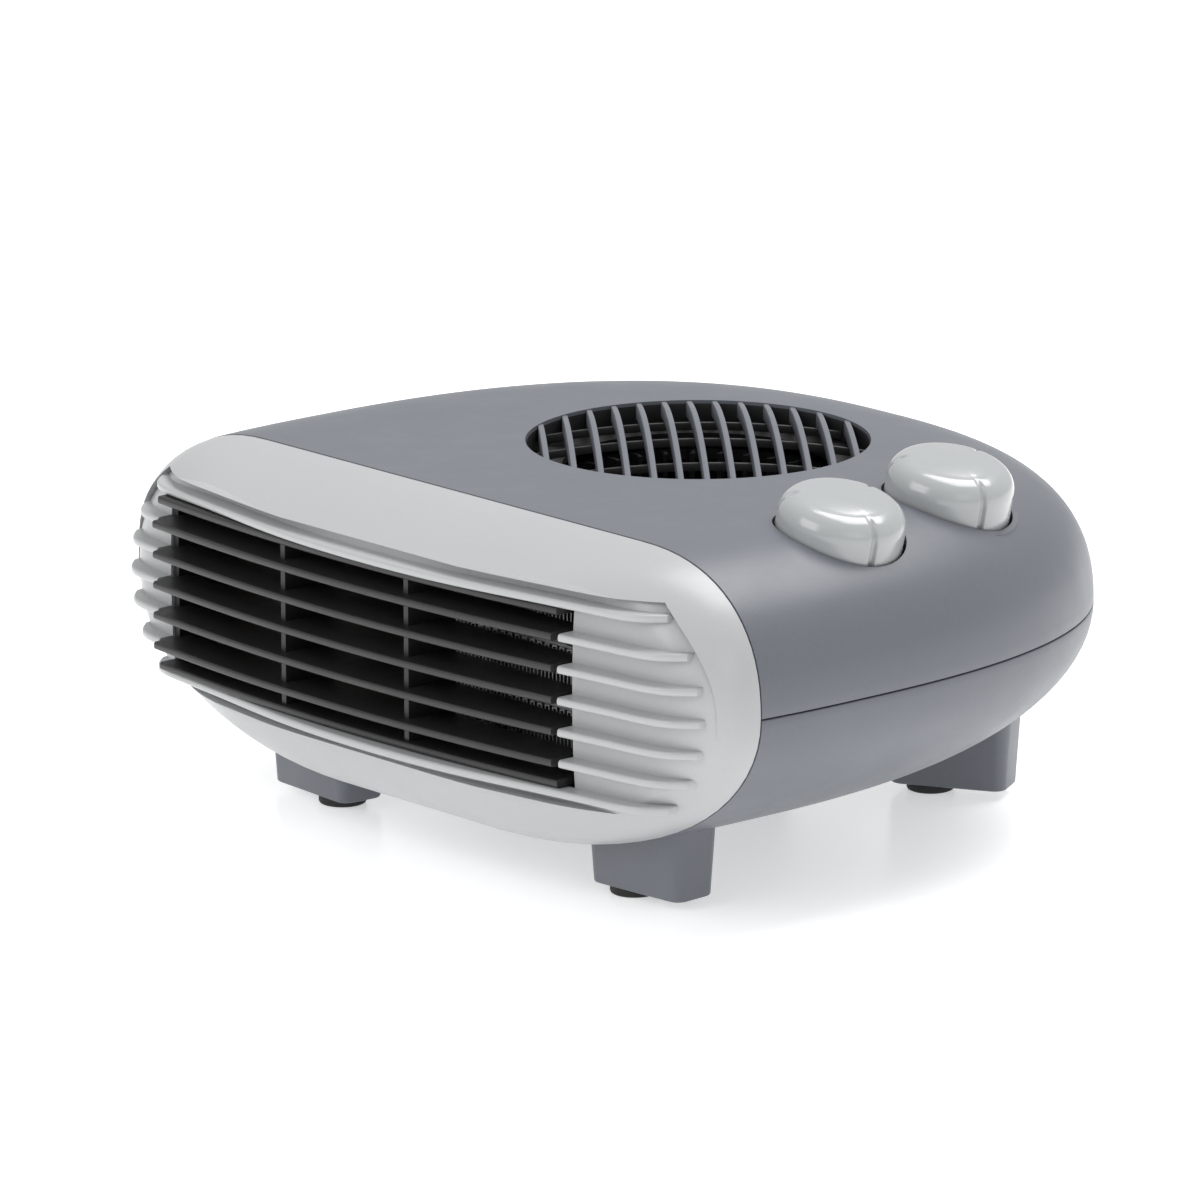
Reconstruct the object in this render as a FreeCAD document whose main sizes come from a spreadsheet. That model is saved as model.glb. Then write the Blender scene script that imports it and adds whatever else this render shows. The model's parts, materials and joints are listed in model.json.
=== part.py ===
import FreeCAD, Part
import Sketcher
import math
import os

from FreeCAD import Placement, Rotation, Vector

# Flat ceramic fan heater standing on four short feet.
# Frame: +X to the heater's left-hand side as it faces the room along -Y, +Z up, millimetres.
# Origin: middle of the overall box, on the surface that the rubber pads stand on.

os.makedirs("parts", exist_ok=True)
doc = FreeCAD.newDocument("fan_heater")

# ---------------------------------------------------------------- driving dimensions
DRIVING = [
    # casing outline seen from above: a superellipse, cut off at the bezel seam
    ("half_width", 125.0), ("plan_half_length", 147.1), ("plan_centre_y", -39.65), ("plan_power", 2.5),
    ("seam_y", -73.65), ("parting_z", 61.5), ("wall", 2.5), ("parting_gap", 0.3),
    # roof and underside: rounded shoulders rising from and falling below the parting line
    ("roof_rise", 39.0), ("roof_inset", 46.0), ("roof_power", 2.35), ("floor_drop", 48.2),
    ("floor_inset", 88.0), ("floor_power", 1.95),
    # round intake grille moulded in the roof
    ("intake_y", 13.95), ("intake_radius", 47.0), ("bar_width", 1.7), ("bar_pitch", 7.0),
    ("bar_heading", 51.5), ("bar_count", 13), ("cross_rib_width", 1.6), ("cross_rib_depth", 5.0),
    ("cross_rib_pitch", 24.0),
    # bezel: its outline shrinks towards the front, where a recess holds seven long ribs
    ("bezel_depth", 33.8), ("bezel_top_fall", 0.30), ("bezel_chin_rise", 0.785),
    ("bezel_side_fall", 0.335), ("bezel_top_power", 1.6), ("bezel_side_power", 2.2),
    ("recess_low_z", 32.6), ("recess_high_z", 91.2), ("rib_pitch", 8.49), ("rib_height", 2.2),
    ("rib_mid_z", 61.5), ("end_slat_set_back", 2.0),
    ("rib_back", 86.4), ("rib_end_x", 117.0), ("rib_end_drop", 12.15),
    ("hollow_depth", 11.0), ("collar_wall", 3.0), ("tab_width", 14.0), ("tab_thickness", 2.2),
    ("tab_reach", 8.0), ("roof_tab_x", 60.0), ("floor_tab_x", 22.0),
    # warm-air outlet: off centre, because the controls take up the left-hand side
    ("outlet_x", -10.7), ("opening_half_width", 84.8), ("opening_low_z", 37.2),
    ("opening_high_z", 86.3),
    # black outlet grille
    ("slat_half_length", 82.8), ("slat_height", 2.2), ("slat_front", 106.6), ("slat_bow", 5.3),
    ("slat_back", 89.4), ("grille_wall", 2.0), ("grille_back", 79.4), ("divider_x", 25.6),
    ("divider_front", 102.4), ("divider_width", 1.8), ("grille_play", 0.2),
    # feet and rubber pads
    ("foot_width", 33.0), ("foot_depth", 14.0), ("foot_bottom_z", 2.4), ("foot_top_z", 42.0),
    ("foot_draft", 4.0), ("foot_round", 3.0), ("pad_radius", 6.6), ("pad_height", 4.4),
    ("pad_stem_radius", 2.4), ("pad_stem_length", 5.0), ("front_pad_x", 60.6), ("front_pad_y", -62.25),
    ("rear_pad_x", 35.7), ("rear_pad_y", 67.65),
    # rotary knobs, in wells on the left shoulder
    ("knob_radius", 17.2), ("knob_height", 11.5), ("knob_skirt", 5.0), ("knob_wall", 2.0),
    ("knob_hub_radius", 5.5), ("knob_groove_radius", 1.3), ("well_radius", 18.0),
    ("well_outer_radius", 19.6), ("well_depth", 9.0), ("spindle_radius", 3.0), ("spindle_top", 5.0),
    ("spindle_fit", 0.05), ("bush_radius", 4.4), ("thermostat_x", 94.5), ("thermostat_y", -20.55),
    ("thermostat_z", 96.2), ("thermostat_tilt", 14.0), ("selector_x", 86.5), ("selector_y", 25.95),
    ("selector_z", 97.2), ("selector_tilt", 12.5), ("control_width", 26.0), ("control_height", 14.0),
    ("nut_radius", 7.0), ("nut_height", 2.0), ("knob_shoulder", 5.0), ("knob_crown_radius", 11.0),
    ("knob_hub_drop", 3.6),
    # fan and motor on one vertical axis under the intake
    ("shaft_radius", 3.0), ("shaft_low_z", 19.0), ("shaft_high_z", 84.0), ("shaft_fit", 0.04),
    ("wheel_radius", 42.0), ("wheel_low_z", 58.0), ("wheel_high_z", 89.0), ("blade_count", 28),
    ("blade_length", 9.0), ("blade_thickness", 1.2), ("wheel_hub_radius", 9.0), ("stator_low_z", 27.0),
    ("stator_height", 18.0), ("stator_width", 62.0), ("stator_depth", 50.0), ("rotor_radius", 15.6),
    ("rotor_gap", 0.4), ("bracket_thickness", 2.0), ("bearing_radius", 6.0), ("bearing_height", 6.0),
    # scroll housing round the fan wheel
    ("scroll_low_z", 52.0), ("scroll_high_z", 92.0), ("scroll_wall", 2.0), ("scroll_front_y", -66.3),
    ("scroll_front_x", 76.0), ("scroll_right_radius", 52.0), ("scroll_rear_radius", 58.0),
    ("scroll_left_radius", 63.0), ("inlet_radius", 37.0),
    # ceramic heating element across the outlet
    ("element_half_width", 74.0), ("element_low_z", 38.3), ("element_high_z", 84.8),
    ("element_front", 78.4), ("element_depth", 12.0), ("stone_length", 23.0), ("stone_height", 3.0),
    ("electrode_thickness", 0.8), ("fin_pitch", 3.0), ("fin_thickness", 0.35), ("holder_width", 7.0),
    ("element_play", 0.3),
    # screws and the posts that they hold
    ("casing_boss_x", 104.0), ("casing_boss_front_y", -53.0), ("casing_boss_rear_x", 70.0),
    ("casing_boss_rear_y", 74.0), ("casing_boss_radius", 4.5), ("casing_screw_radius", 1.75),
    ("casing_screw_sink", 6.0), ("casing_screw_bite", 12.0), ("small_screw_radius", 1.45),
    ("small_hole_radius", 1.55), ("motor_screw_x", 26.0), ("motor_screw_length", 31.5),
    # mains lead inlet, clamp and terminal block
    ("cord_x", -59.5), ("cord_y", 94.3), ("cord_z", 52.5), ("cord_heading", 24.0), ("cord_tilt", 22.7),
    ("cord_hole_radius", 6.0), ("cord_bore_radius", 3.6), ("clamp_x", -48.0), ("clamp_y", 79.0),
    ("clamp_z", 41.0), ("clamp_reach", 9.0), ("block_x", -53.0), ("block_y", 59.0), ("block_z", 34.5),
    ("block_reach", 11.0),
]
dims = doc.addObject("Spreadsheet::Sheet", "Dims")
dims.set("A1", "name")
dims.set("B1", "value")
for row, (alias, number) in enumerate(DRIVING, start=2):
    dims.set("A%d" % row, alias)
    dims.set("B%d" % row, str(number))
    dims.setAlias("B%d" % row, alias)
doc.recompute()
value = {alias: float(dims.get(alias)) for alias, _ in DRIVING}

made = []      # every sub-part, in the order it is made

# ---------------------------------------------------------------- places shared by several parts
CASING_BOSSES = [(side * value["casing_boss_x"], value["casing_boss_front_y"]) for side in (1, -1)]
CASING_BOSSES += [(side * value["casing_boss_rear_x"], value["casing_boss_rear_y"]) for side in (1, -1)]
SCROLL_FIXINGS = [(54.0, -55.0), (-66.0, -55.0), (24.0, 55.0), (-30.0, 57.0)]
MOTOR_FIXINGS = [(side * value["motor_screw_x"], value["intake_y"]) for side in (1, -1)]
CLAMP_FIXINGS = [(value["clamp_x"] + side * value["clamp_reach"], value["clamp_y"]) for side in (-1, 1)]
BLOCK_FIXINGS = [(value["block_x"] + side * value["block_reach"], value["block_y"]) for side in (-1, 1)]
# posts on the floor of the lower casing: x, y, radius, top
POSTS = [(x, y, 4.0, value["scroll_low_z"]) for x, y in SCROLL_FIXINGS]
POSTS += [(x, y, 3.2, value["clamp_z"]) for x, y in CLAMP_FIXINGS]
POSTS += [(x, y, 3.0, value["block_z"]) for x, y in BLOCK_FIXINGS]
# feet: pad centre x and y, heading of the front face, sideways shift of the foot from its pad
FEET = {
    "front_left": (value["front_pad_x"], value["front_pad_y"], 4.0, 6.5),
    "front_right": (-value["front_pad_x"], value["front_pad_y"], -4.0, -6.5),
    "rear_left": (value["rear_pad_x"], value["rear_pad_y"], 30.0, 6.5),
    "rear_right": (-value["rear_pad_x"], value["rear_pad_y"], -30.0, -6.5),
}
# knobs: origin of each control's own frame and its outward tilt
CONTROLS = {name: tuple(value["%s_%s" % (name, what)] for what in ("x", "y", "z", "tilt"))
            for name in ("thermostat", "selector")}
# plan curves of the bezel's front, from the middle to one end: x, distance in front of the origin
RIB_FRONT = [(0.0, 107.2), (40.0, 105.4), (74.2, 100.9), (85.0, 99.5), (95.0, 98.3), (104.5, 97.0),
             (111.0, 94.8), (117.0, 89.4)]
RECESS_FLOOR = [(0.0, 101.5), (40.0, 99.8), (74.0, 95.6), (95.0, 94.3), (105.0, 93.8), (112.0, 92.0),
                (117.3, 88.2), (122.0, 83.0), (127.0, 75.0)]
BROW = [(0.0, 104.5), (40.0, 102.8), (74.0, 98.2), (95.0, 93.0), (104.0, 87.0), (122.0, 72.0)]


# ---------------------------------------------------------------- general helpers
def bind(thing, **sizes):
    """Bind properties of a document object to expressions over the sheet."""
    for name, expression in sizes.items():
        thing.setExpression(name, expression)


def sub_part(thing, label):
    """Register a document object as a finished sub-part."""
    thing.Label = label
    made.append(thing)
    return thing


def new_body(label):
    return sub_part(doc.addObject("PartDesign::Body", label), label)


def plane_of(body, role):
    return [f for f in body.Origin.OriginFeatures if f.Role == role][0]


def new_sketch(body, name, role="XY_Plane", level=0.0, expression=None):
    """Sketch on one of the body's origin planes, moved along the plane's normal."""
    sketch = body.newObject("Sketcher::SketchObject", name)
    sketch.AttachmentSupport = [(plane_of(body, role), "")]
    sketch.MapMode = "FlatFace"
    sketch.AttachmentOffset = Placement(Vector(0, 0, level), Rotation())
    if expression:
        sketch.setExpression(".AttachmentOffset.Base.z", expression)
    return sketch


def draw_loop(sketch, curves):
    """Closed loop of curves, each tied to the next; smooth splines need no ties."""
    first = sketch.GeometryCount
    for curve in curves:
        sketch.addGeometry(curve, False)
    if any(isinstance(curve, Part.BSplineCurve) for curve in curves):
        return
    count = len(curves)
    if count == 2:
        tie_ends(sketch, first, first + 1, (1,))
        tie_ends(sketch, first, first + 1, (2,))
        return
    for i in range(count):
        tie_ends(sketch, first + i, first + (i + 1) % count, (1, 2))


def tie_ends(sketch, here, there, which):
    """Coincidence between the ends of two edges that meet; `which` names the first edge's ends to try."""
    pairs = [(a, b, sketch.getPoint(here, a).distanceToPoint(sketch.getPoint(there, b)))
             for a in which for b in (1, 2)]
    a, b, gap = min(pairs, key=lambda pair: pair[2])
    sketch.addConstraint(Sketcher.Constraint("Coincident", here, a, there, b))


def polygon(points):
    """Straight edges round a list of (x, y) corners."""
    corners = [Vector(x, y, 0) for x, y in points]
    return [Part.LineSegment(p, q) for p, q in zip(corners, corners[1:] + corners[:1])]


def rectangle(x_low, y_low, x_high, y_high):
    return polygon([(x_low, y_low), (x_high, y_low), (x_high, y_high), (x_low, y_high)])


def smooth_curve(points):
    curve = Part.BSplineCurve()
    curve.interpolate([Vector(x, y, 0) for x, y in points])
    return curve


def draw_circle(sketch, x, y, radius):
    sketch.addGeometry(Part.Circle(Vector(x, y, 0), Vector(0, 0, 1), radius), False)


def pad(body, sketch, expression, name="Pad", reverse=False):
    feature = body.newObject("PartDesign::Pad", name)
    feature.Profile = sketch
    feature.Reversed = reverse
    bind(feature, Length=expression)
    return feature


def pocket(body, sketch, expression, name="Pocket", reverse=False):
    feature = body.newObject("PartDesign::Pocket", name)
    feature.Profile = sketch
    feature.Reversed = reverse
    bind(feature, Length=expression)
    return feature


def box(name, x, y, z, length, width, height):
    """Part::Box from its low corner; the three sizes are expressions over the sheet."""
    thing = doc.addObject("Part::Box", name)
    bind(thing, Length=length, Width=width, Height=height)
    thing.Placement.Base = Vector(x, y, z)
    return thing


def cylinder(name, x, y, z, radius, height, direction=Vector(0, 0, 1)):
    thing = doc.addObject("Part::Cylinder", name)
    bind(thing, Radius=radius, Height=height)
    thing.Placement = Placement(Vector(x, y, z), Rotation(Vector(0, 0, 1), direction))
    return thing


def cut(name, base, tool):
    thing = doc.addObject("Part::Cut", name)
    thing.Base = base
    thing.Tool = tool
    return thing


def fuse(name, shapes):
    thing = doc.addObject("Part::MultiFuse", name)
    thing.Shapes = shapes
    return thing


def group(label, shapes):
    """Several separate identical solids that share one node."""
    thing = doc.addObject("Part::Compound", label)
    thing.Links = shapes
    return sub_part(thing, label)


# ---------------------------------------------------------------- casing surface
def profile_step(angle, inset, rise, power):
    """Inset and rise on a shoulder, at an angle from the parting line (0) to the flat (90 degrees)."""
    exponent = 2.0 / power
    across = math.cos(math.radians(angle))
    along = math.sin(math.radians(angle))
    return inset * (1.0 - max(across, 0.0) ** exponent), rise * max(along, 0.0) ** exponent


def plan_x(y, inset):
    """Half width of the outline, inset all round, at a distance y along the heater."""
    across = value["half_width"] - inset
    along = value["plan_half_length"] - inset
    share = min(abs(y - value["plan_centre_y"]) / along, 1.0)
    return across * (1.0 - share ** value["plan_power"]) ** (1.0 / value["plan_power"])


def plan_points(inset, front_y, count=21):
    """Points round the inset outline from the front on the +X side, round the rear, to the other side."""
    across = value["half_width"] - inset
    along = value["plan_half_length"] - inset
    centre_y = value["plan_centre_y"]
    power = value["plan_power"]
    start = math.atan2(front_y - centre_y, plan_x(front_y, inset))
    points = []
    for i in range(count):
        angle = start + (math.pi - 2.0 * start) * i / (count - 1)
        c, s = math.cos(angle), math.sin(angle)
        reach = (abs(c / across) ** power + abs(s / along) ** power) ** (-1.0 / power)
        points.append((reach * c, centre_y + reach * s))
    return points


def casing_levels(upper, wall):
    """(inset, height above or below the parting line) of each section, from the line to the flat."""
    kind = "roof" if upper else "floor"
    sign = 1.0 if upper else -1.0
    rise = value["roof_rise"] if upper else value["floor_drop"]
    inset = value[kind + "_inset"]
    levels = []
    for angle in (0, 16, 32, 48, 64, 78, 90):
        step, height = profile_step(angle, inset - wall, rise - wall, value[kind + "_power"])
        levels.append((wall + step, sign * height))
    return levels


def casing_loft(body, upper, wall, gap, name):
    """Solid skin of one casing half, or, with a wall, the hollow inside it."""
    kind = "PartDesign::SubtractiveLoft" if wall else "PartDesign::AdditiveLoft"
    front_y = value["seam_y"] - (1.0 if wall else 0.0)
    sections = []
    for i, (inset, height) in enumerate(casing_levels(upper, wall)):
        level = "Dims.parting_z %+.6f" % (height + gap * (1.0 if upper else -1.0))
        sketch = new_sketch(body, "%s_section_%d" % (name, i), level=value["parting_z"] + height,
                            expression=level)
        outline = smooth_curve(plan_points(inset, front_y))
        draw_loop(sketch, [outline, Part.LineSegment(outline.EndPoint, outline.StartPoint)])
        sections.append(sketch)
    loft = body.newObject(kind, name)
    loft.Profile = sections[0]
    loft.Sections = sections[1:]
    return loft


def skin_z(x, y, upper=True):
    """Height of the casing's outer skin above the point (x, y)."""
    kind = "roof" if upper else "floor"
    rise = value["roof_rise"] if upper else value["floor_drop"]
    inset, power = value[kind + "_inset"], value[kind + "_power"]
    low, high = 0.0, 90.0
    for _ in range(40):
        middle = 0.5 * (low + high)
        step = profile_step(middle, inset, rise, power)[0]
        inside = abs(x) < plan_x(y,
                                 step) and abs(y - value["plan_centre_y"]) < value["plan_half_length"] - step
        low, high = (middle, high) if inside else (low, middle)
    height = profile_step(low, inset, rise, power)[1]
    return value["parting_z"] + (height if upper else -height)


def clear_z(x, y, radius, upper=True):
    """Level at which a round post's end, anywhere on its rim, stays inside the outer skin."""
    rim = [(x + radius * math.cos(a), y + radius * math.sin(a)) for a in (0.5 * k for k in range(13))]
    levels = [skin_z(u, v, upper) for u, v in rim]
    return min(levels) - 0.6 if upper else max(levels) + 0.6


def boss(body, name, x, y, radius, top, expression, reverse=False):
    """Round post on the XY plane's level `top`, growing down when reversed."""
    sketch = new_sketch(body, name + "_sketch", level=top)
    draw_circle(sketch, x, y, radius)
    return pad(body, sketch, expression, name, reverse)


# ---------------------------------------------------------------- upper casing
def knob_frame(control):
    """Placement of a control's own frame: its Z is the spindle, leaning outwards over the shoulder."""
    x, y, z, tilt = CONTROLS[control]
    return Placement(Vector(x, y, z), Rotation(Vector(0, 1, 0), tilt))


def bar_direction():
    """Unit vectors along and across the intake bars, in plan."""
    heading = math.radians(value["bar_heading"])
    along = Vector(-math.sin(heading), math.cos(heading), 0)
    return along, Vector(along.y, -along.x, 0)


def intake_slot(near, far):
    """Edges of the slot between two lines at right angles to `across`, closed by arcs of the rim."""
    radius = value["intake_radius"]
    along, across = bar_direction()
    centre = Vector(0, value["intake_y"], 0)

    def reach(offset):
        return math.sqrt(max(radius ** 2 - offset ** 2, 0.0))

    def rim(offset, side):
        return centre + across * offset + along * (side * reach(offset))

    middle = 0.5 * (near + far)
    edges = []
    if reach(near) > 0.0:
        edges.append(Part.LineSegment(rim(near, -1), rim(near, 1)))
    edges.append(Part.Arc(rim(near, 1), rim(middle, 1), rim(far, 1)))
    if reach(far) > 0.0:
        edges.append(Part.LineSegment(rim(far, 1), rim(far, -1)))
    edges.append(Part.Arc(rim(far, -1), rim(middle, -1), rim(near, -1)))
    return edges


def cut_intake(body):
    """Slots through the roof that leave the bars standing."""
    count = int(value["bar_count"])
    half_bar = 0.5 * value["bar_width"]
    offsets = [(i - (count - 1) / 2.0) * value["bar_pitch"] for i in range(count)]
    rim = value["intake_radius"]
    lows = [-rim] + [offset + half_bar for offset in offsets]
    highs = [offset - half_bar for offset in offsets] + [rim]
    sketch = new_sketch(body, "intake_slots", level=value["parting_z"] + 20.0)
    for low, high in zip(lows, highs):
        draw_loop(sketch, intake_slot(low, high))
    return pocket(body, sketch, "Dims.roof_rise", "Intake", reverse=True)


def add_cross_ribs(body):
    """Thin ribs under the bars, at right angles to them."""
    along, across = bar_direction()
    centre = Vector(0, value["intake_y"], 0)
    sketch = new_sketch(body, "cross_rib_sketch", level=value["parting_z"] + 37.0,
                        expression="Dims.parting_z + Dims.roof_rise - Dims.wall + 1")
    for step in (-1, 0, 1):
        offset = step * value["cross_rib_pitch"]
        reach = math.sqrt((value["intake_radius"] + 1.5) ** 2 - offset ** 2)
        corners = []
        for side, end in ((-1, -1), (1, -1), (1, 1), (-1, 1)):
            shift = offset + 0.5 * value["cross_rib_width"] * side
            point = centre + along * shift + across * (reach * end)
            corners.append((point.x, point.y))
        draw_loop(sketch, polygon(corners))
    return pad(body, sketch, "Dims.cross_rib_depth", "CrossRibs", reverse=True)


def primitive(body, kind, name, frame, z, radius, height):
    """Additive or subtractive cylinder in a control's own frame; sizes are expressions."""
    feature = body.newObject("PartDesign::%sCylinder" % kind, name)
    feature.Placement = frame.multiply(Placement(Vector(0, 0, z), Rotation()))
    bind(feature, Radius=radius, Height=height)
    return feature


def build_upper_casing():
    body = new_body("upper_casing")
    casing_loft(body, True, 0.0, 0.5 * value["parting_gap"], "Skin")
    casing_loft(body, True, value["wall"], 0.5 * value["parting_gap"], "Hollow")
    for i, (x, y) in enumerate(CASING_BOSSES):
        radius = value["casing_boss_radius"]
        top = clear_z(x, y, radius)
        boss(body, "Boss_%d" % i, x, y, radius, top, "%.3f - Dims.parting_z - Dims.parting_gap" % top,
             reverse=True)
        pilot = new_sketch(body, "pilot_sketch_%d" % i, level=value["parting_z"] - 1.0)
        draw_circle(pilot, x, y, value["casing_screw_radius"] + 0.05)
        pocket(body, pilot, "Dims.casing_screw_bite + 2.5", "PilotHole_%d" % i, reverse=True)
    for control in CONTROLS:
        primitive(body, "Additive", control + "_cup", knob_frame(control), -value["well_depth"],
                  "Dims.well_outer_radius", "Dims.well_depth - Dims.wall")
        primitive(body, "Subtractive", control + "_well", knob_frame(control),
                  value["wall"] - value["well_depth"],
                  "Dims.well_radius", "Dims.well_depth + 12")
        primitive(body, "Subtractive", control + "_bush_hole", knob_frame(control),
                  -value["well_depth"] - 1.0,
                  "Dims.bush_radius + 0.1", "Dims.wall + 2")
    cut_intake(body)
    add_cross_ribs(body)
    return body


# ---------------------------------------------------------------- lower casing with its feet
def foot_outline(x, y, heading, shift, grow):
    """Rounded rectangle round a pad, turned to follow the casing; grow adds to each side."""
    half_width = 0.5 * value["foot_width"] + grow
    half_depth = 0.5 * value["foot_depth"] + grow
    radius = value["foot_round"]
    turn = Rotation(Vector(0, 0, 1), heading)

    def place(u, v):
        return Vector(x, y, 0) + turn.multVec(Vector(u + shift, v, 0))

    edges = []
    corner_signs = [(1, -1), (1, 1), (-1, 1), (-1, -1)]
    for i, (su, sv) in enumerate(corner_signs):
        centre_u, centre_v = su * (half_width - radius), sv * (half_depth - radius)
        start_angle = -90.0 + 90.0 * i
        points = []
        for share in (0.0, 0.5, 1.0):
            angle = math.radians(start_angle + 90.0 * share)
            points.append(place(centre_u + radius * math.cos(angle), centre_v + radius * math.sin(angle)))
        edges.append(Part.Arc(*points))
    lines = [Part.LineSegment(edges[i].EndPoint, edges[(i + 1) % 4].StartPoint) for i in range(4)]
    return [curve for pair in zip(edges, lines) for curve in pair]


def add_foot(body, name, place):
    """Drafted post from just above the floor up into the casing."""
    low = new_sketch(body, name + "_low", level=value["foot_bottom_z"], expression="Dims.foot_bottom_z")
    draw_loop(low, foot_outline(*place, 0.0))
    high = new_sketch(body, name + "_high", level=value["foot_top_z"], expression="Dims.foot_top_z")
    rise = value["foot_top_z"] - value["foot_bottom_z"]
    draw_loop(high, foot_outline(*place, rise * math.tan(math.radians(value["foot_draft"]))))
    loft = body.newObject("PartDesign::AdditiveLoft", name + "_post")
    loft.Profile = low
    loft.Sections = [high]
    loft.Ruled = True
    return loft


def cord_frame():
    """Placement of the mains lead's inlet: its Y leaves the rear wall at right angles, outwards and down."""
    heading = Rotation(Vector(0, 0, 1), value["cord_heading"])
    tilt = Rotation(Vector(1, 0, 0), -value["cord_tilt"])
    return Placement(Vector(value["cord_x"], value["cord_y"], value["cord_z"]), heading.multiply(tilt))


def build_lower_casing():
    body = new_body("lower_casing")
    casing_loft(body, False, 0.0, 0.5 * value["parting_gap"], "Skin")
    for name, place in FEET.items():
        add_foot(body, name, place)
    casing_loft(body, False, value["wall"], 0.5 * value["parting_gap"], "Hollow")
    for i, (x, y) in enumerate(CASING_BOSSES):
        radius = value["casing_boss_radius"]
        low = clear_z(x, y, radius, upper=False)
        boss(body, "Boss_%d" % i, x, y, radius, low, "Dims.parting_z - Dims.parting_gap - %.3f" % low)
        hole = new_sketch(body, "screw_hole_sketch_%d" % i, level=low - 12.0)
        draw_circle(hole, x, y, value["casing_screw_radius"] + 0.15)
        pocket(body, hole, "60", "ScrewHole_%d" % i, reverse=True)
        counterbore = new_sketch(body, "head_hole_sketch_%d" % i, level=low - 14.0)
        draw_circle(counterbore, x, y, radius - 0.9)
        pocket(body, counterbore, "14 + Dims.casing_screw_sink", "HeadHole_%d" % i, reverse=True)
    for i, (x, y, radius, top) in enumerate(POSTS):
        low = clear_z(x, y, radius, upper=False)
        boss(body, "Post_%d" % i, x, y, radius, low, "%.3f" % (top - low))
        pilot = new_sketch(body, "post_hole_sketch_%d" % i, level=top)
        draw_circle(pilot, x, y, value["small_hole_radius"])
        pocket(body, pilot, "9", "PostHole_%d" % i)
    for x, y, _, _ in FEET.values():
        stem = new_sketch(body, "pad_hole_sketch", level=0.0)
        draw_circle(stem, x, y, value["pad_stem_radius"])
        pocket(body, stem, "Dims.pad_height + Dims.pad_stem_length", "PadStemHole", reverse=True)
        seat = new_sketch(body, "pad_seat_sketch", level=0.0)
        draw_circle(seat, x, y, value["pad_radius"] + 0.1)
        pocket(body, seat, "Dims.pad_height", "PadSeat", reverse=True)
    outwards = Placement(Vector(), Rotation(Vector(1, 0, 0), -90.0))
    primitive(body, "Subtractive", "CordHole", cord_frame().multiply(outwards), -9.0,
              "Dims.cord_hole_radius", "20")
    vents = new_sketch(body, "floor_vent_sketch", level=0.0)
    for i in range(-4, 5):
        draw_loop(vents, rectangle(i * 6.0 - 1.2, 1.0, i * 6.0 + 1.2, 29.0))
    pocket(body, vents, "24", "FloorVents", reverse=True)
    return body


# ---------------------------------------------------------------- front bezel
def seam_outline(inset_wall):
    """Right half of the casing's front outline as (x, height above the parting line), low to high."""
    points = []
    for upper in (False, True):
        levels = casing_levels(upper, inset_wall)
        side = [(plan_x(value["seam_y"], inset), height) for inset, height in levels]
        points += side[::-1] if not upper else side[1:]
    return points


def bezel_section(share):
    """Closed outline of the bezel at a share of its depth, scaled from the outline at the seam."""
    fall = 1.0 - value["bezel_top_fall"] * share ** value["bezel_top_power"]
    chin = 1.0 - value["bezel_chin_rise"] * (1.0 - math.sqrt(max(1.0 - share ** 2, 0.0)))
    narrow = 1.0 - value["bezel_side_fall"] * share ** value["bezel_side_power"]
    half = [(x * narrow, value["parting_z"] + z * (fall if z > 0 else chin)) for x, z in seam_outline(0.0)]
    return half + [(-x, z) for x, z in half[::-1]]


def closed_spline(points):
    curve = Part.BSplineCurve()
    curve.interpolate([Vector(x, z, 0) for x, z in points], PeriodicFlag=True)
    return curve


def bezel_loft(body, share_end):
    sections = []
    for i in range(6):
        share = share_end * i / 5.0
        depth = -value["seam_y"] + value["bezel_depth"] * share
        sketch = new_sketch(body, "skin_section_%d" % i, role="XZ_Plane", level=depth)
        sketch.addGeometry(closed_spline(bezel_section(share)), False)
        sections.append(sketch)
    loft = body.newObject("PartDesign::AdditiveLoft", "Skin")
    loft.Profile = sections[0]
    loft.Sections = sections[1:]
    return loft


def both_sides(half):
    """Smooth plan curve through the points of one half and their mirror images."""
    points = [(-x, -front) for x, front in half[:0:-1]] + [(x, -front) for x, front in half]
    return smooth_curve(points)


def cut_front(body, name, curve_points, low, height):
    """Take away everything in front of a plan curve between two levels."""
    sketch = new_sketch(body, name + "_sketch", level=low)
    curve = both_sides(curve_points)
    far_left = Vector(curve.StartPoint.x, -130.0, 0)
    far_right = Vector(curve.EndPoint.x, -130.0, 0)
    draw_loop(sketch, [curve, Part.LineSegment(curve.EndPoint, far_right),
                       Part.LineSegment(far_right, far_left), Part.LineSegment(far_left, curve.StartPoint)])
    return pocket(body, sketch, height, name, reverse=True)


def rib_levels():
    """Underside of each rib, from the lowest, which borders the opening, to the highest."""
    thick = value["rib_height"]
    middle = [value["rib_mid_z"] + k * value["rib_pitch"] - 0.5 * thick for k in (-2, -1, 0, 1, 2)]
    return [value["opening_low_z"] - thick] + middle + [value["opening_high_z"]]


def height_share(z):
    """Distance of a level from the middle rib, as a share of the distance to the outermost rib."""
    levels = rib_levels()
    return abs(z - value["rib_mid_z"]) / (0.5 * (levels[-1] - levels[0]))


def narrowed(half, z):
    """Plan curve drawn in towards the middle, as the bezel's side curves away above and below."""
    narrow = 1.0 - value["rib_end_drop"] / value["rib_end_x"] * height_share(z) ** 2.3
    return [(x * narrow, front) for x, front in half]


def cut_recess(body):
    """Recess round the ribs, in bands that follow the bezel's side."""
    levels = rib_levels()
    bounds = [value["recess_low_z"]] + [low + 0.5 * value["rib_height"] for low in levels]
    bounds.append(value["recess_high_z"])
    for i, (low, high) in enumerate(zip(bounds, bounds[1:])):
        curve = narrowed(RECESS_FLOOR, 0.5 * (low + high))
        cut_front(body, "Recess_%d" % i, curve, low, "%.3f" % (high - low))


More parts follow.
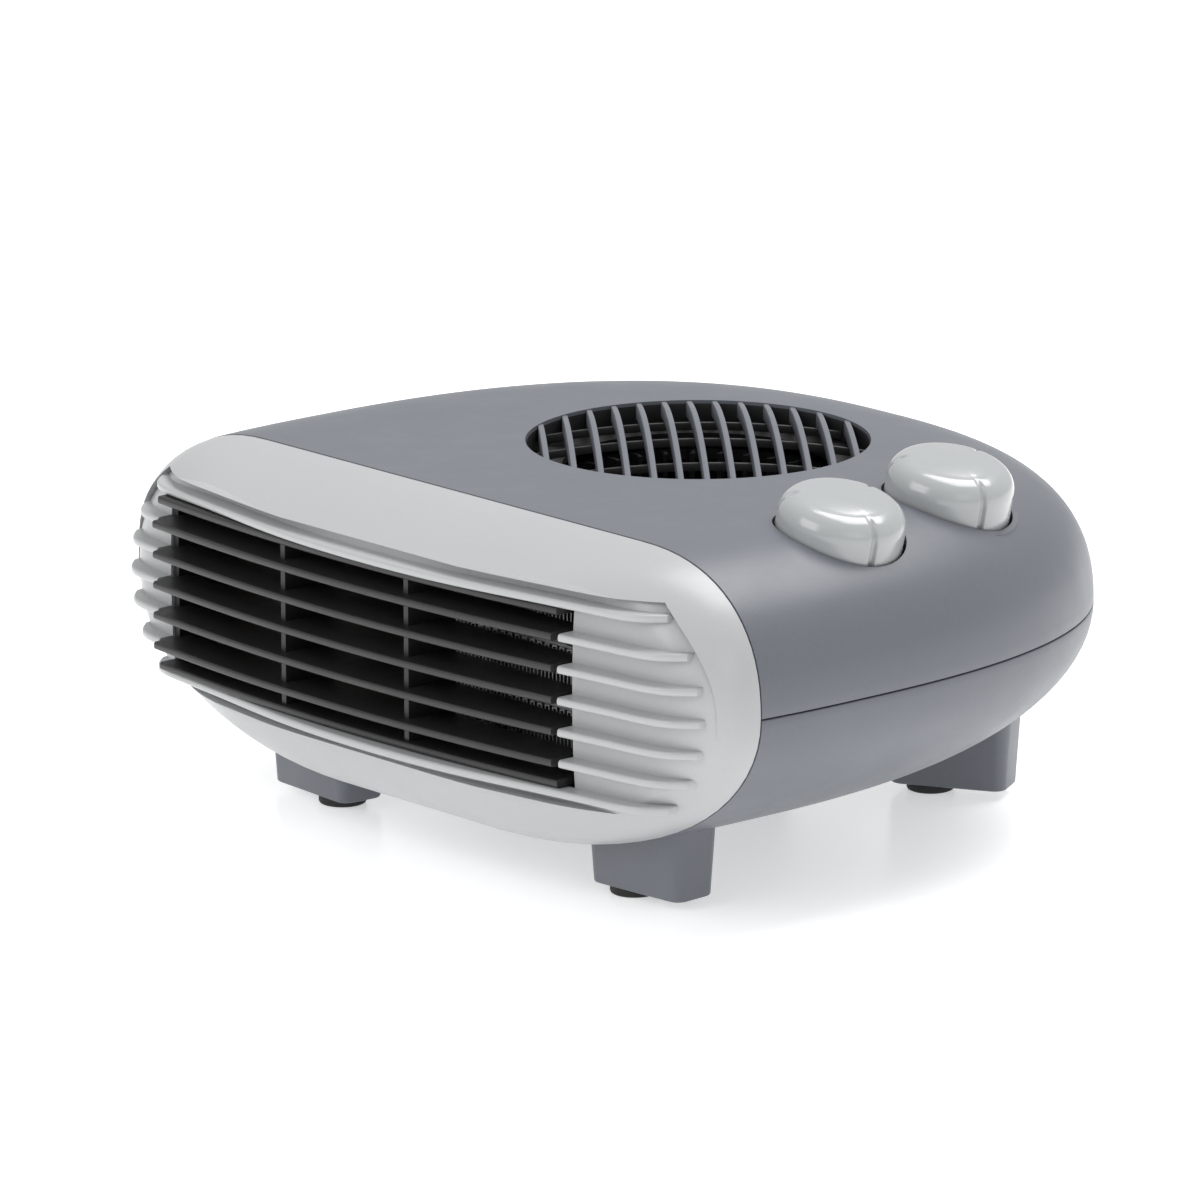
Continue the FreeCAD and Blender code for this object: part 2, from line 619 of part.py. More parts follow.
def add_ribs(body):
    """Ribs across the recess; each ends where the bezel's side curves away at its level."""
    for i, low in enumerate(rib_levels()):
        points = narrowed(RIB_FRONT, low + 0.5 * value["rib_height"])
        points.append((points[-1][0], value["rib_back"]))
        sketch = new_sketch(body, "rib_sketch_%d" % i, level=low)
        front = both_sides(points[:-1])
        end, back = points[-1]
        right, left = Vector(end, -back, 0), Vector(-end, -back, 0)
        draw_loop(sketch, [front, Part.LineSegment(front.EndPoint, right), Part.LineSegment(right, left),
                           Part.LineSegment(left, front.StartPoint)])
        pad(body, sketch, "Dims.rib_height", "Rib_%d" % i)


def add_tabs(body):
    """Four flat tabs that slide in behind the roof and the floor of the casing."""
    half, thick = 0.5 * value["tab_width"], value["tab_thickness"]
    clearance = 0.4
    roof_z = value["parting_z"] + value["roof_rise"] - value["wall"] - clearance
    floor_z = value["parting_z"] - value["floor_drop"] + value["wall"] + clearance
    tabs = new_sketch(body, "tab_sketch", role="XZ_Plane", level=-value["seam_y"] + 4.0)
    for side in (-1, 1):
        x = side * value["roof_tab_x"]
        draw_loop(tabs, rectangle(x - half, roof_z - thick, x + half, roof_z))
        x = side * value["floor_tab_x"]
        draw_loop(tabs, rectangle(x - half, floor_z, x + half, floor_z + thick))
    return pad(body, tabs, "Dims.tab_reach + 4", "Tabs", reverse=True)


def build_bezel():
    body = new_body("front_bezel")
    bezel_loft(body, 0.998)
    low, high = value["recess_low_z"], value["recess_high_z"]
    cut_front(body, "Forehead", BROW, high, "40")
    cut_front(body, "Chin", BROW, low - 40.0, "40")
    cut_recess(body)
    hollow = new_sketch(body, "hollow_sketch", role="XZ_Plane", level=-value["seam_y"] - 1.0)
    inner = [(0.92 * x, value["parting_z"] + z * (0.92 if z > 0 else 0.88))
             for x, z in seam_outline(value["wall"])]
    hollow.addGeometry(closed_spline(inner + [(-x, z) for x, z in inner[::-1]]), False)
    # a collar round the outlet holds the front of the heating element
    for grow in (value["element_play"] + value["collar_wall"], value["element_play"]):
        reach = value["element_half_width"] + grow
        draw_loop(hollow, rectangle(value["outlet_x"] - reach, value["element_low_z"] - grow,
                                    value["outlet_x"] + reach, value["element_high_z"] + grow))
    pocket(body, hollow, "Dims.hollow_depth + 1", "Hollow", reverse=True)
    add_tabs(body)
    add_ribs(body)
    opening = new_sketch(body, "opening_sketch", role="XZ_Plane", level=value["grille_back"] - 0.4)
    half = value["opening_half_width"]
    draw_loop(opening, rectangle(value["outlet_x"] - half, value["opening_low_z"], value["outlet_x"] + half,
                                 value["opening_high_z"]))
    pocket(body, opening, "Dims.bezel_depth + 4", "Opening", reverse=True)
    return body


# ---------------------------------------------------------------- outlet grille
def build_outlet_grille():
    body = new_body("outlet_grille")
    play, wall = value["grille_play"], value["grille_wall"]
    centre, half = value["outlet_x"], value["opening_half_width"] - play
    low, high = value["opening_low_z"] + play, value["opening_high_z"] - play
    frame = new_sketch(body, "frame_sketch", role="XZ_Plane", level=value["grille_back"],
                       expression="Dims.grille_back")
    draw_loop(frame, rectangle(centre - half, low, centre + half, high))
    draw_loop(frame, rectangle(centre - half + wall, low + wall, centre + half - wall, high - wall))
    pad(body, frame, "Dims.slat_back + 3 - Dims.grille_back", "Frame")
    pitch, thick = value["rib_pitch"], value["slat_height"]
    levels = [value["rib_mid_z"] + k * pitch - 0.5 * thick for k in (-2, -1, 0, 1, 2)]
    levels = [low] + levels + [high - thick]
    reach = value["slat_half_length"]
    for i, level in enumerate(levels):
        sketch = new_sketch(body, "slat_sketch_%d" % i, level=level)
        set_back = value["end_slat_set_back"] if i in (0, len(levels) - 1) else 0.0
        front_y = set_back - value["slat_front"]
        end_y = value["slat_bow"] + front_y
        front = Part.Arc(Vector(centre - reach, end_y, 0), Vector(centre, front_y, 0),
                         Vector(centre + reach, end_y, 0))
        back_right = Vector(centre + reach, -value["slat_back"], 0)
        back_left = Vector(centre - reach, -value["slat_back"], 0)
        draw_loop(sketch, [front, Part.LineSegment(front.EndPoint, back_right),
                           Part.LineSegment(back_right, back_left),
                           Part.LineSegment(back_left, front.StartPoint)])
        pad(body, sketch, "Dims.slat_height", "Slat_%d" % i)
    dividers = new_sketch(body, "divider_sketch", level=low)
    for side in (-1, 1):
        x, half_width = centre + side * value["divider_x"], 0.5 * value["divider_width"]
        draw_loop(dividers, rectangle(x - half_width, -value["divider_front"], x + half_width,
                                      -value["slat_back"] + 4.0))
    pad(body, dividers, "Dims.opening_high_z - Dims.opening_low_z - 2 * Dims.grille_play", "Dividers")
    return body


# ---------------------------------------------------------------- rubber pads
def build_pads():
    for name, (x, y, _, _) in FEET.items():
        body = new_body("foot_pad_" + name)
        profile = new_sketch(body, "pad_profile", role="XZ_Plane")
        radius, height = value["pad_radius"], value["pad_height"]
        stem, top = value["pad_stem_radius"] - 0.05, value["pad_height"] + value["pad_stem_length"] - 0.4
        draw_loop(profile, polygon([(0, 0), (radius - 0.8, 0), (radius, 0.8), (radius, height - 0.1),
                                    (stem, height - 0.1), (stem, top - 0.6), (stem - 0.6, top), (0, top)]))
        turned = body.newObject("PartDesign::Revolution", "Turned")
        turned.Profile = profile
        turned.ReferenceAxis = (profile, ["V_Axis"])
        turned.Angle = 360.0
        body.Placement.Base = Vector(x, y, 0)


# ---------------------------------------------------------------- knobs and rotary controls
def build_knob(control):
    """Domed knob with a hollow underside, a hub on the spindle and grip grooves round the rim."""
    body = new_body(control + "_knob")
    radius, height, skirt = value["knob_radius"], value["knob_height"], value["knob_skirt"]
    wall, hub, bore = value["knob_wall"], value["knob_hub_radius"], value["spindle_radius"]
    shoulder, crown, drop = value["knob_shoulder"], value["knob_crown_radius"], value["knob_hub_drop"]
    profile = new_sketch(body, "dome_profile", role="XZ_Plane")
    # the dome's arc is tangent to the flat crown, so its centre lies under the crown's edge
    across, rise = radius - crown, height - shoulder
    dome_radius = (across ** 2 + rise ** 2) / (2.0 * rise)
    centre_z = height - dome_radius
    middle = 0.5 * (math.pi / 2.0 + math.asin((shoulder - centre_z) / dome_radius))
    dome_mid = Vector(crown + dome_radius * math.cos(middle), centre_z + dome_radius * math.sin(middle), 0)
    dome = Part.Arc(Vector(radius, shoulder, 0), dome_mid, Vector(crown, height, 0))
    ceiling = height - 2.0 * wall
    corners = [(crown, height), (0, height), (0, value["spindle_top"]), (bore, value["spindle_top"]),
               (bore, -drop),
               (hub, -drop), (hub, ceiling), (crown + wall, ceiling), (radius - 1.6 * wall, 2.2 * wall),
               (radius - wall, 0.5), (radius - wall, -skirt), (radius, -skirt), (radius, shoulder)]
    points = [Vector(x, y, 0) for x, y in corners]
    draw_loop(profile, [Part.LineSegment(p, q) for p, q in zip(points, points[1:])] + [dome])
    turned = body.newObject("PartDesign::Revolution", "Dome")
    turned.Profile = profile
    turned.ReferenceAxis = (profile, ["V_Axis"])
    turned.Angle = 360.0
    groove = new_sketch(body, "groove_sketch", level=-value["knob_skirt"] - 1.0)
    for angle in (0.0, 120.0, 240.0):
        direction = Vector(math.cos(math.radians(angle)), math.sin(math.radians(angle)), 0)
        place = direction * (radius + 0.2)
        draw_circle(groove, place.x, place.y, value["knob_groove_radius"])
    pocket(body, groove, "Dims.knob_skirt + Dims.knob_height + 2", "Grooves", reverse=True)
    body.Placement = knob_frame(control)
    return body


def build_control(control, body_label, spindle_label, nut_label):
    """Rotary control under its well: body with a bush, nut in the well, spindle up into the knob."""
    frame = knob_frame(control)
    depth = value["well_depth"]
    width = value["control_width"]
    block = box(control + "_block", -0.5 * width, -0.5 * width, -depth - value["control_height"],
                "Dims.control_width", "Dims.control_width", "Dims.control_height")
    bush = cylinder(control + "_bush", 0, 0, -depth - 2.0, "Dims.bush_radius",
                    "Dims.wall + Dims.nut_height + 2.4")
    whole = fuse(control + "_with_bush", [block, bush])
    bore = cylinder(control + "_bore", 0, 0, -depth - value["control_height"] - 1.0,
                    "Dims.spindle_radius + Dims.spindle_fit", "Dims.control_height + Dims.wall + 12")
    regulator = sub_part(cut(control + "_control", whole, bore), body_label)
    regulator.Placement = frame
    spindle = doc.addObject("Part::Cylinder", spindle_label)
    bind(spindle, Radius="Dims.spindle_radius - 0.02",
         Height="Dims.well_depth + Dims.control_height + Dims.spindle_top - 0.3")
    spindle.Placement = frame.multiply(Placement(Vector(0, 0, -depth - value["control_height"]), Rotation()))
    sub_part(spindle, spindle_label)
    hexagon = doc.addObject("Part::Prism", control + "_hexagon")
    bind(hexagon, Circumradius="Dims.nut_radius", Height="Dims.nut_height")
    hexagon.Placement.Base = Vector(0, 0, value["wall"] - depth)
    opening = cylinder(control + "_nut_hole", 0, 0, -depth, "Dims.bush_radius + 0.05", "8")
    nut = sub_part(cut(control + "_nut", hexagon, opening), nut_label)
    nut.Placement = frame


# ---------------------------------------------------------------- fan wheel and motor
def build_fan_wheel():
    """Squirrel-cage wheel: backplate, hub, forward-curved blades and a stiffening ring."""
    body = new_body("fan_wheel")
    centre_y = value["intake_y"]
    outer, low = value["wheel_radius"], value["wheel_low_z"]
    inner = outer - value["blade_length"]
    plate = new_sketch(body, "plate_sketch", level=low, expression="Dims.wheel_low_z")
    draw_circle(plate, 0, 0, outer)
    pad(body, plate, "2", "Backplate")
    hub = new_sketch(body, "hub_sketch", level=low)
    draw_circle(hub, 0, 0, value["wheel_hub_radius"])
    pad(body, hub, "Dims.shaft_high_z - Dims.wheel_low_z + 1", "Hub")
    blade = new_sketch(body, "blade_sketch", level=low)
    half = 0.5 * value["blade_thickness"]
    root, tip = Vector(inner, 0, 0), Vector(outer - 1.2, 3.4, 0)
    belly = Vector(0.5 * (inner + outer), -0.2, 0)
    front = Part.Arc(root + Vector(0, half, 0), belly + Vector(0, half, 0), tip + Vector(-half, half, 0))
    back = Part.Arc(tip + Vector(half, -half, 0), belly - Vector(0, half, 0), root - Vector(0, half, 0))
    draw_loop(blade, [front, Part.LineSegment(front.EndPoint, back.StartPoint), back,
                      Part.LineSegment(back.EndPoint, front.StartPoint)])
    one_blade = pad(body, blade, "Dims.wheel_high_z - Dims.wheel_low_z", "Blade")
    doc.recompute()
    blades = body.newObject("PartDesign::PolarPattern", "Blades")
    blades.Originals = [one_blade]
    blades.Axis = (blade, ["N_Axis"])
    blades.Angle = 360.0
    blades.Occurrences = int(value["blade_count"])
    body.Tip = blades
    ring = new_sketch(body, "ring_sketch", level=value["wheel_high_z"] - 3.0,
                      expression="Dims.wheel_high_z - 3")
    draw_circle(ring, 0, 0, outer)
    draw_circle(ring, 0, 0, outer - 3.2)
    pad(body, ring, "3", "Ring")
    bore = new_sketch(body, "bore_sketch", level=low - 1.0)
    draw_circle(bore, 0, 0, value["shaft_radius"])
    pocket(body, bore, "60", "Bore", reverse=True)
    body.Placement.Base = Vector(0, centre_y, 0)
    return body


def motor_screw_holes(name, z):
    """Cutters for the two screws that run down through the motor."""
    return [cylinder("%s_screw_hole_%d" % (name, i), x, y, z, "Dims.small_hole_radius",
                     "Dims.stator_height + 4")
            for i, (x, y) in enumerate(MOTOR_FIXINGS)]


def build_motor():
    """Shaded-pole motor under the wheel: laminations, coil, rotor, shaft, two brackets with bushes."""
    y = value["intake_y"]
    low, high = value["stator_low_z"], value["stator_low_z"] + value["stator_height"]
    shaft = cylinder("motor_shaft", 0, y, value["shaft_low_z"], "Dims.shaft_radius - 0.02",
                     "Dims.shaft_high_z - Dims.shaft_low_z")
    sub_part(shaft, "motor_shaft")

    stack = box("stator_stack", -0.5 * value["stator_width"], y - 19.0, low,
                "Dims.stator_width", "Dims.stator_depth", "Dims.stator_height")
    rotor_hole = cylinder("rotor_hole", 0, y, low - 1.0, "Dims.rotor_radius + Dims.rotor_gap",
                          "Dims.stator_height + 2")
    window = box("coil_window", -21.0, y + 19.0, low - 1.0, "42", "5", "Dims.stator_height + 2")
    openings = fuse("stator_openings", [rotor_hole, window] + motor_screw_holes("stator", low - 1.0))
    sub_part(cut("stator_core", stack, openings), "motor_laminations")

    coil_block = box("coil_block", -19.0, y + 19.6, low - 5.0, "38", "15.4", "Dims.stator_height + 10")
    coil_hole = box("coil_hole", -20.0, y + 24.0 - 0.2, low - 0.1, "40", "7.4", "Dims.stator_height + 0.2")
    sub_part(cut("coil_cut", coil_block, coil_hole), "motor_coil")

    rotor_body = cylinder("rotor_body", 0, y, low + 1.0, "Dims.rotor_radius", "Dims.stator_height - 2")
    rotor_bore = cylinder("rotor_bore", 0, y, low - 1.0, "Dims.shaft_radius", "Dims.stator_height + 2")
    sub_part(cut("rotor_cut", rotor_body, rotor_bore), "motor_rotor")

    for side, z in (("lower", low - 3.0), ("upper", high + 1.0)):
        strap = box(side + "_strap", -0.5 * value["stator_width"], y - 9.0, z, "Dims.stator_width", "18",
                    "Dims.bracket_thickness")
        legs = []
        for x in (-0.5 * value["stator_width"], 0.5 * value["stator_width"] - 5.0):
            leg_z = z + value["bracket_thickness"] if side == "lower" else high
            legs.append(box("%s_leg_%d" % (side, len(legs)), x, y - 6.0, leg_z, "5", "12", "1"))
        seat = cylinder(side + "_bearing_seat", 0, y, z - 1.0, "Dims.bearing_radius",
                        "Dims.bracket_thickness + 2")
        plate = fuse(side + "_bracket_solid", [strap] + legs)
        holes = fuse(side + "_bracket_holes", [seat] + motor_screw_holes(side, z - 2.0))
        sub_part(cut(side + "_bracket", plate, holes), "motor_bracket_" + side)
        ring = cylinder(side + "_bearing_ring", 0, y, z - 3.2, "Dims.bearing_radius", "Dims.bearing_height")
        if side == "upper":
            ring.Placement.Base.z = z
        bore = cylinder(side + "_bearing_bore", 0, y, z - 6.0, "Dims.shaft_radius + Dims.shaft_fit", "16")
        sub_part(cut(side + "_bearing", ring, bore), "motor_bearing_" + side)


# ---------------------------------------------------------------- scroll housing and inlet ring
def scroll_outline(wall, front_y):
    """Plan of the scroll: a three-centred curve round the wheel, opening into the front duct."""
    y = value["intake_y"]
    front_x = value["scroll_front_x"] - wall
    right, rear = value["scroll_right_radius"] - wall, value["scroll_rear_radius"] - wall
    left = value["scroll_left_radius"] - wall
    curl = Part.Arc(Vector(right, y, 0), Vector(0, y + rear, 0), Vector(-left, y, 0))
    front_left = Vector(value["outlet_x"] - front_x, front_y, 0)
    front_right = Vector(value["outlet_x"] + front_x, front_y, 0)
    return [curl, Part.LineSegment(curl.EndPoint, front_left), Part.LineSegment(front_left, front_right),
            Part.LineSegment(front_right, curl.StartPoint)]


def build_scroll():
    body = new_body("scroll_housing")
    low, wall = value["scroll_low_z"], value["scroll_wall"]
    outside = new_sketch(body, "outside_sketch", level=low, expression="Dims.scroll_low_z")
    draw_loop(outside, scroll_outline(0.0, value["scroll_front_y"]))
    pad(body, outside, "Dims.scroll_high_z - Dims.scroll_low_z", "Block")
    inside = new_sketch(body, "inside_sketch", level=low + wall,
                        expression="Dims.scroll_low_z + Dims.scroll_wall")
    draw_loop(inside, scroll_outline(wall, value["scroll_front_y"] - 1.0))
    pocket(body, inside, "Dims.scroll_high_z - Dims.scroll_low_z", "Inside", reverse=True)
    hole = new_sketch(body, "hub_hole_sketch", level=low - 1.0)
    draw_circle(hole, 0, value["intake_y"], 8.0)
    pocket(body, hole, "6", "HubHole", reverse=True)

    cover = new_body("scroll_cover")
    plate = new_sketch(cover, "plate_sketch", level=value["scroll_high_z"] + 0.1,
                       expression="Dims.scroll_high_z + 0.1")
    draw_loop(plate, scroll_outline(0.0, value["scroll_front_y"]))
    draw_circle(plate, 0, value["intake_y"], value["inlet_radius"])
    pad(cover, plate, "1.8", "Plate")
    hole = new_sketch(body, "fixing_hole_sketch", level=low - 1.0)
    for x, y in SCROLL_FIXINGS + MOTOR_FIXINGS:
        draw_circle(hole, x, y, 1.7)
    pocket(body, hole, "6", "FixingHoles", reverse=True)


# ---------------------------------------------------------------- screws
def screw(x, y, seat_z, head_radius, head_height, shank_radius, length, up):
    """Pan-head screw whose head rests on seat_z; up is 1 when the shank points up, -1 when down."""
    axis = Vector(0, 0, up)
    head = Part.makeCylinder(head_radius, head_height, Vector(x, y, seat_z), axis * -1)
    rim_z = seat_z - up * head_height
    rim = [edge for edge in head.Edges if abs(edge.CenterOfMass.z - rim_z) < 1e-6]
    head = head.makeFillet(0.35 * head_height, rim)
    shank = Part.makeCylinder(shank_radius, length, Vector(x, y, seat_z), axis)
    slot_width = 0.28 * head_radius
    solid = head.fuse(shank)
    for long_side, short_side in ((1.3 * head_radius, slot_width), (slot_width, 1.3 * head_radius)):
        corner = Vector(x - 0.5 * long_side, y - 0.5 * short_side, seat_z - up * (head_height + 0.1))
        recess = Part.makeBox(long_side, short_side, 0.55 * head_height + 0.1, corner, axis)
        if up < 0:
            recess = Part.makeBox(long_side, short_side, 0.55 * head_height + 0.1,
                                  Vector(corner.x, corner.y, seat_z + 0.45 * head_height))
        solid = solid.cut(recess)
    return solid.removeSplitter()


def screw_group(label, screws):
    """One node of separate identical screws."""
    thing = doc.addObject("Part::Feature", label)
    thing.Shape = Part.makeCompound(screws)
    return sub_part(thing, label)


def build_screws():
    casing = []
    for x, y in CASING_BOSSES:
        seat = clear_z(x, y, value["casing_boss_radius"], upper=False) + value["casing_screw_sink"]
        length = value["parting_z"] + value["casing_screw_bite"] - seat
        casing.append(screw(x, y, seat, 3.4, 2.2, value["casing_screw_radius"], length, 1))
    screw_group("casing_screws", casing)
    floor, radius = value["scroll_low_z"] + value["scroll_wall"], value["small_screw_radius"]
    screw_group("scroll_screws", [screw(x, y, floor, 2.8, 1.8, radius, 10.0, -1) for x, y in SCROLL_FIXINGS])
    screw_group("motor_screws", [screw(x, y, floor, 2.8, 1.8, radius, value["motor_screw_length"], -1)
                                 for x, y in MOTOR_FIXINGS])
    clamp_top = value["clamp_z"] + 3.0
    screw_group("clamp_screws", [screw(x, y, clamp_top, 2.6, 1.6, radius, 10.0, -1) for x,
                                 y in CLAMP_FIXINGS])


def build_motor_spacers():
    """Tubes that hang the motor's upper bracket from the scroll floor."""
    tubes = []
    low = value["stator_low_z"] + value["stator_height"] + 1.0 + value["bracket_thickness"]
    for x, y in MOTOR_FIXINGS:
        outer = Part.makeCylinder(3.2, value["scroll_low_z"] - low, Vector(x, y, low))
        tubes.append(outer.cut(Part.makeCylinder(1.7, 20.0, Vector(x, y, low - 1.0))))
    thing = doc.addObject("Part::Feature", "motor_spacers")
    thing.Shape = Part.makeCompound(tubes)
    sub_part(thing, "motor_spacers")


# ---------------------------------------------------------------- ceramic element
def serpentine(x_low, x_high, z_low, z_high):
    """Outline of a corrugated strip: a square wave of sheet between two levels."""
    thick = value["fin_thickness"]
    count = int((x_high - x_low) / (0.5 * value["fin_pitch"]))
    step = (x_high - x_low) / count
    centre = []
    for i in range(count + 1):
        x = x_low + i * step
        ends = [(x, z_low), (x, z_high)] if i % 2 == 0 else [(x, z_high), (x, z_low)]
        centre += [Vector(ends[0][0], 0, ends[0][1]), Vector(ends[1][0], 0, ends[1][1])]
    sides = []
    for side in (1.0, -1.0):
        path = []
        for i, point in enumerate(centre):
            before = (point - centre[i - 1]).normalize() if i > 0 else None
            after = (centre[i + 1] - point).normalize() if i + 1 < len(centre) else None
            normals = [Vector(-d.z, 0, d.x) for d in (before, after) if d is not None]
            shift = normals[0] + normals[1] if len(normals) == 2 else normals[0]
            path.append(point + shift * (0.5 * thick * side))
        sides.append(path)
    return sides[0] + sides[1][::-1]


def build_element():
    """Two rows of ceramic stones between electrode strips, with corrugated aluminium fins round them."""
    holder = value["holder_width"]
    inner, centre = value["element_half_width"] - holder, value["outlet_x"]
    y_front, depth = -value["element_front"], value["element_depth"]
    low, high = value["element_low_z"] + 0.3, value["element_high_z"] - 0.3
    stone, strip = value["stone_height"], value["electrode_thickness"]
    row = (high - low - 2.0 * (stone + 2.0 * strip)) / 3.0
    stones, strips = [], []
    z = low
    for label in ("heater_fins_lower", "heater_fins_middle", "heater_fins_upper"):
        half_sheet = 0.5 * value["fin_thickness"] + 0.02
        wave = serpentine(centre - inner + 1.0, centre + inner - 1.0, z + half_sheet, z + row - half_sheet)
        face = Part.Face(Part.makePolygon(wave + wave[:1]))
        fins = doc.addObject("Part::Feature", label)
        fins.Shape = face.extrude(Vector(0, depth, 0))
        fins.Placement.Base = Vector(0, y_front, 0)
        sub_part(fins, label)
        z += row
        if label == "heater_fins_upper":
            break
        for offset in (0.0, strip + stone):
            strips.append(box("strip_%d" % len(strips), centre - inner - 3.0, y_front + 0.5, z + offset,
                              "2 * (Dims.element_half_width - Dims.holder_width + 3)",
                              "Dims.element_depth - 1",
                              "Dims.electrode_thickness"))
        for i in range(5):
            x = centre + (i - 2) * (value["stone_length"] + 2.0) - 0.5 * value["stone_length"]
            stones.append(box("stone_%d" % len(stones), x, y_front + 1.0, z + strip, "Dims.stone_length",
                              "Dims.element_depth - 2", "Dims.stone_height"))
        z += stone + 2.0 * strip
    group("ceramic_stones", stones)
    group("electrode_strips", strips)
    for label, x in (("element_holder_left", centre + inner), ("element_holder_right",
                                                               centre - inner - holder)):
        block = box(label + "_block", x, y_front, low, "Dims.holder_width", "Dims.element_depth",
                    "Dims.element_high_z - Dims.element_low_z - 0.6")
        slots = []
        z = low + row
        for _ in range(2):
            slot_x = x - 1.0 if x > 0 else x + holder - 3.1
            slots.append(box("%s_slot_%d" % (label, len(slots)), slot_x, y_front + 0.4, z - 0.05, "4.1",
                             "Dims.element_depth - 0.8",
                             "Dims.stone_height + 2 * Dims.electrode_thickness + 0.1"))
            z += stone + 2.0 * strip + row
        sub_part(cut(label + "_carved", block, fuse(label + "_slots", slots)), label)


# ---------------------------------------------------------------- electrical small parts
def build_electrics():
    floor = value["scroll_low_z"] + value["scroll_wall"]
    disc = cylinder("cutout_disc", -40.0, -55.0, floor + 1.0, "8", "5")
    flange = box("cutout_flange", -52.0, -59.0, floor, "24", "8", "1")
    tab_left = box("cutout_tab_left", -44.0, -58.0, floor + 5.5, "1", "6", "8")
    tab_right = box("cutout_tab_right", -37.0, -58.0, floor + 5.5, "1", "6", "8")
    sub_part(fuse("cutout", [disc, flange, tab_left, tab_right]), "thermal_cutout")

    can = cylinder("fuse_can", 22.0, -57.0, floor + 4.0, "2.2", "14", Vector(1, 0, 0))
    lead = cylinder("fuse_lead", 14.0, -57.0, floor + 4.0, "0.6", "30", Vector(1, 0, 0))
    sub_part(fuse("fuse_link", [can, lead]), "thermal_fuse")
    clip = box("fuse_clip_block", 26.0, -60.0, floor, "5", "6", "4.6")
    clip_bore = cylinder("fuse_clip_bore", 25.0, -57.0, floor + 4.0, "2.25", "8", Vector(1, 0, 0))
    sub_part(cut("fuse_clip", clip, clip_bore), "fuse_clip")

    x, y, z = value["block_x"], value["block_y"], value["block_z"]
    block = box("terminal_body", x - 17.0, y - 7.0, z, "34", "14", "12")
    holes = []
    for i in range(3):
        way_x = x + (i - 1) * 10.0
        holes.append(cylinder("terminal_way_%d" % i, way_x, y - 8.0, z + 5.0, "1.8", "16", Vector(0, 1, 0)))
        holes.append(cylinder("terminal_screw_%d" % i, way_x, y, z + 5.0, "2", "8"))
    sub_part(cut("terminals", block, fuse("terminal_holes", holes)), "terminal_block")

    x, y, z = value["clamp_x"], value["clamp_y"], value["clamp_z"]
    bar = box("clamp_bar", x - 13.0, y - 4.0, z, "26", "8", "3")
    clamp_holes = [cylinder("clamp_hole_%d" % i, hole_x, hole_y, z - 1.0, "Dims.small_hole_radius", "6")
                   for i, (hole_x, hole_y) in enumerate(CLAMP_FIXINGS)]
    sub_part(cut("clamp", bar, fuse("clamp_holes", clamp_holes)), "cord_clamp")


def build_gland():
    """Rubber cord bush in the rear wall; its bore is the heater's cord inlet."""
    body = new_body("cord_gland")
    profile = new_sketch(body, "gland_profile", role="XY_Plane")
    bore, neck, flange = value["cord_bore_radius"], value["cord_hole_radius"] - 0.1, 8.0
    grip = 0.5 * value["wall"] + 1.2
    draw_loop(profile, polygon([(bore, -6.0), (flange - 1.0, -6.0), (flange - 1.0, -grip), (neck, -grip),
                                (neck, grip), (flange, grip), (flange - 1.5, grip + 2.2), (bore + 2.0, 9.0),
                                (bore, 9.0)]))
    turned = body.newObject("PartDesign::Revolution", "Turned")
    turned.Profile = profile
    turned.ReferenceAxis = (profile, ["V_Axis"])
    turned.Angle = 360.0
    body.Placement = cord_frame()
    return body


# ---------------------------------------------------------------- build, check and write
build_upper_casing()
build_lower_casing()
build_bezel()
build_outlet_grille()
build_pads()
build_knob("thermostat")
build_knob("selector")
build_control("thermostat", "thermostat_body", "thermostat_spindle", "thermostat_nut")
build_control("selector", "selector_switch", "selector_spindle", "selector_nut")
build_fan_wheel()
build_motor()
build_motor_spacers()
build_scroll()
build_element()
build_electrics()
build_gland()
build_screws()
doc.recompute()

problems = []
for thing in doc.Objects:
    if any(state in ("Invalid", "Error") for state in thing.State):
        problems.append("%s is in state %s" % (thing.Name, thing.State))
for thing in made:
    if thing.Shape.isNull() or not thing.Shape.isValid():
        problems.append("%s has no valid shape" % thing.Label)
if problems:
    raise SystemExit("\n".join(problems))
for thing in made:
    thing.Shape.exportStep("parts/%s.step" % thing.Label)
    print("%-24s %2d solids %10.1f mm3" % (thing.Label, len(thing.Shape.Solids), thing.Shape.Volume))
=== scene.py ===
import math
import json

import bmesh
import bpy
import numpy as np
from mathutils import Matrix, Vector


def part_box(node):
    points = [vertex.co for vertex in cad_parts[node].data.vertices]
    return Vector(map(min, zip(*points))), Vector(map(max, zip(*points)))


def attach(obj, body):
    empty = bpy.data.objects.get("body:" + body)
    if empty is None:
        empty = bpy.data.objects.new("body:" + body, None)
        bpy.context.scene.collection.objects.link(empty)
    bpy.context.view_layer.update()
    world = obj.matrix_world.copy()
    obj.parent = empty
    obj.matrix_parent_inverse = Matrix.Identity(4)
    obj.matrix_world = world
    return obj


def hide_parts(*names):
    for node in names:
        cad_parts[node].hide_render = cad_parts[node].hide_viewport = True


# Flat ceramic fan heater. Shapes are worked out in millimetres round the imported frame, and made in metres.
MM = 0.001
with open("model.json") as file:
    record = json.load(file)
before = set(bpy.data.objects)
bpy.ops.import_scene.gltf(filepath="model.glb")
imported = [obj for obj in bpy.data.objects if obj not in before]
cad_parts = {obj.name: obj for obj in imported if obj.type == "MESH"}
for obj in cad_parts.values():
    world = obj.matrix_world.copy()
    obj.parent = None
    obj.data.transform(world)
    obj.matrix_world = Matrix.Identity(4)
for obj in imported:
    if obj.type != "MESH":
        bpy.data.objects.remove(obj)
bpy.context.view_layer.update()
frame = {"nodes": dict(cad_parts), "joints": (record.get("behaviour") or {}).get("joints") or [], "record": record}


def node_box(node):
    low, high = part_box(node)
    return low / MM, high / MM


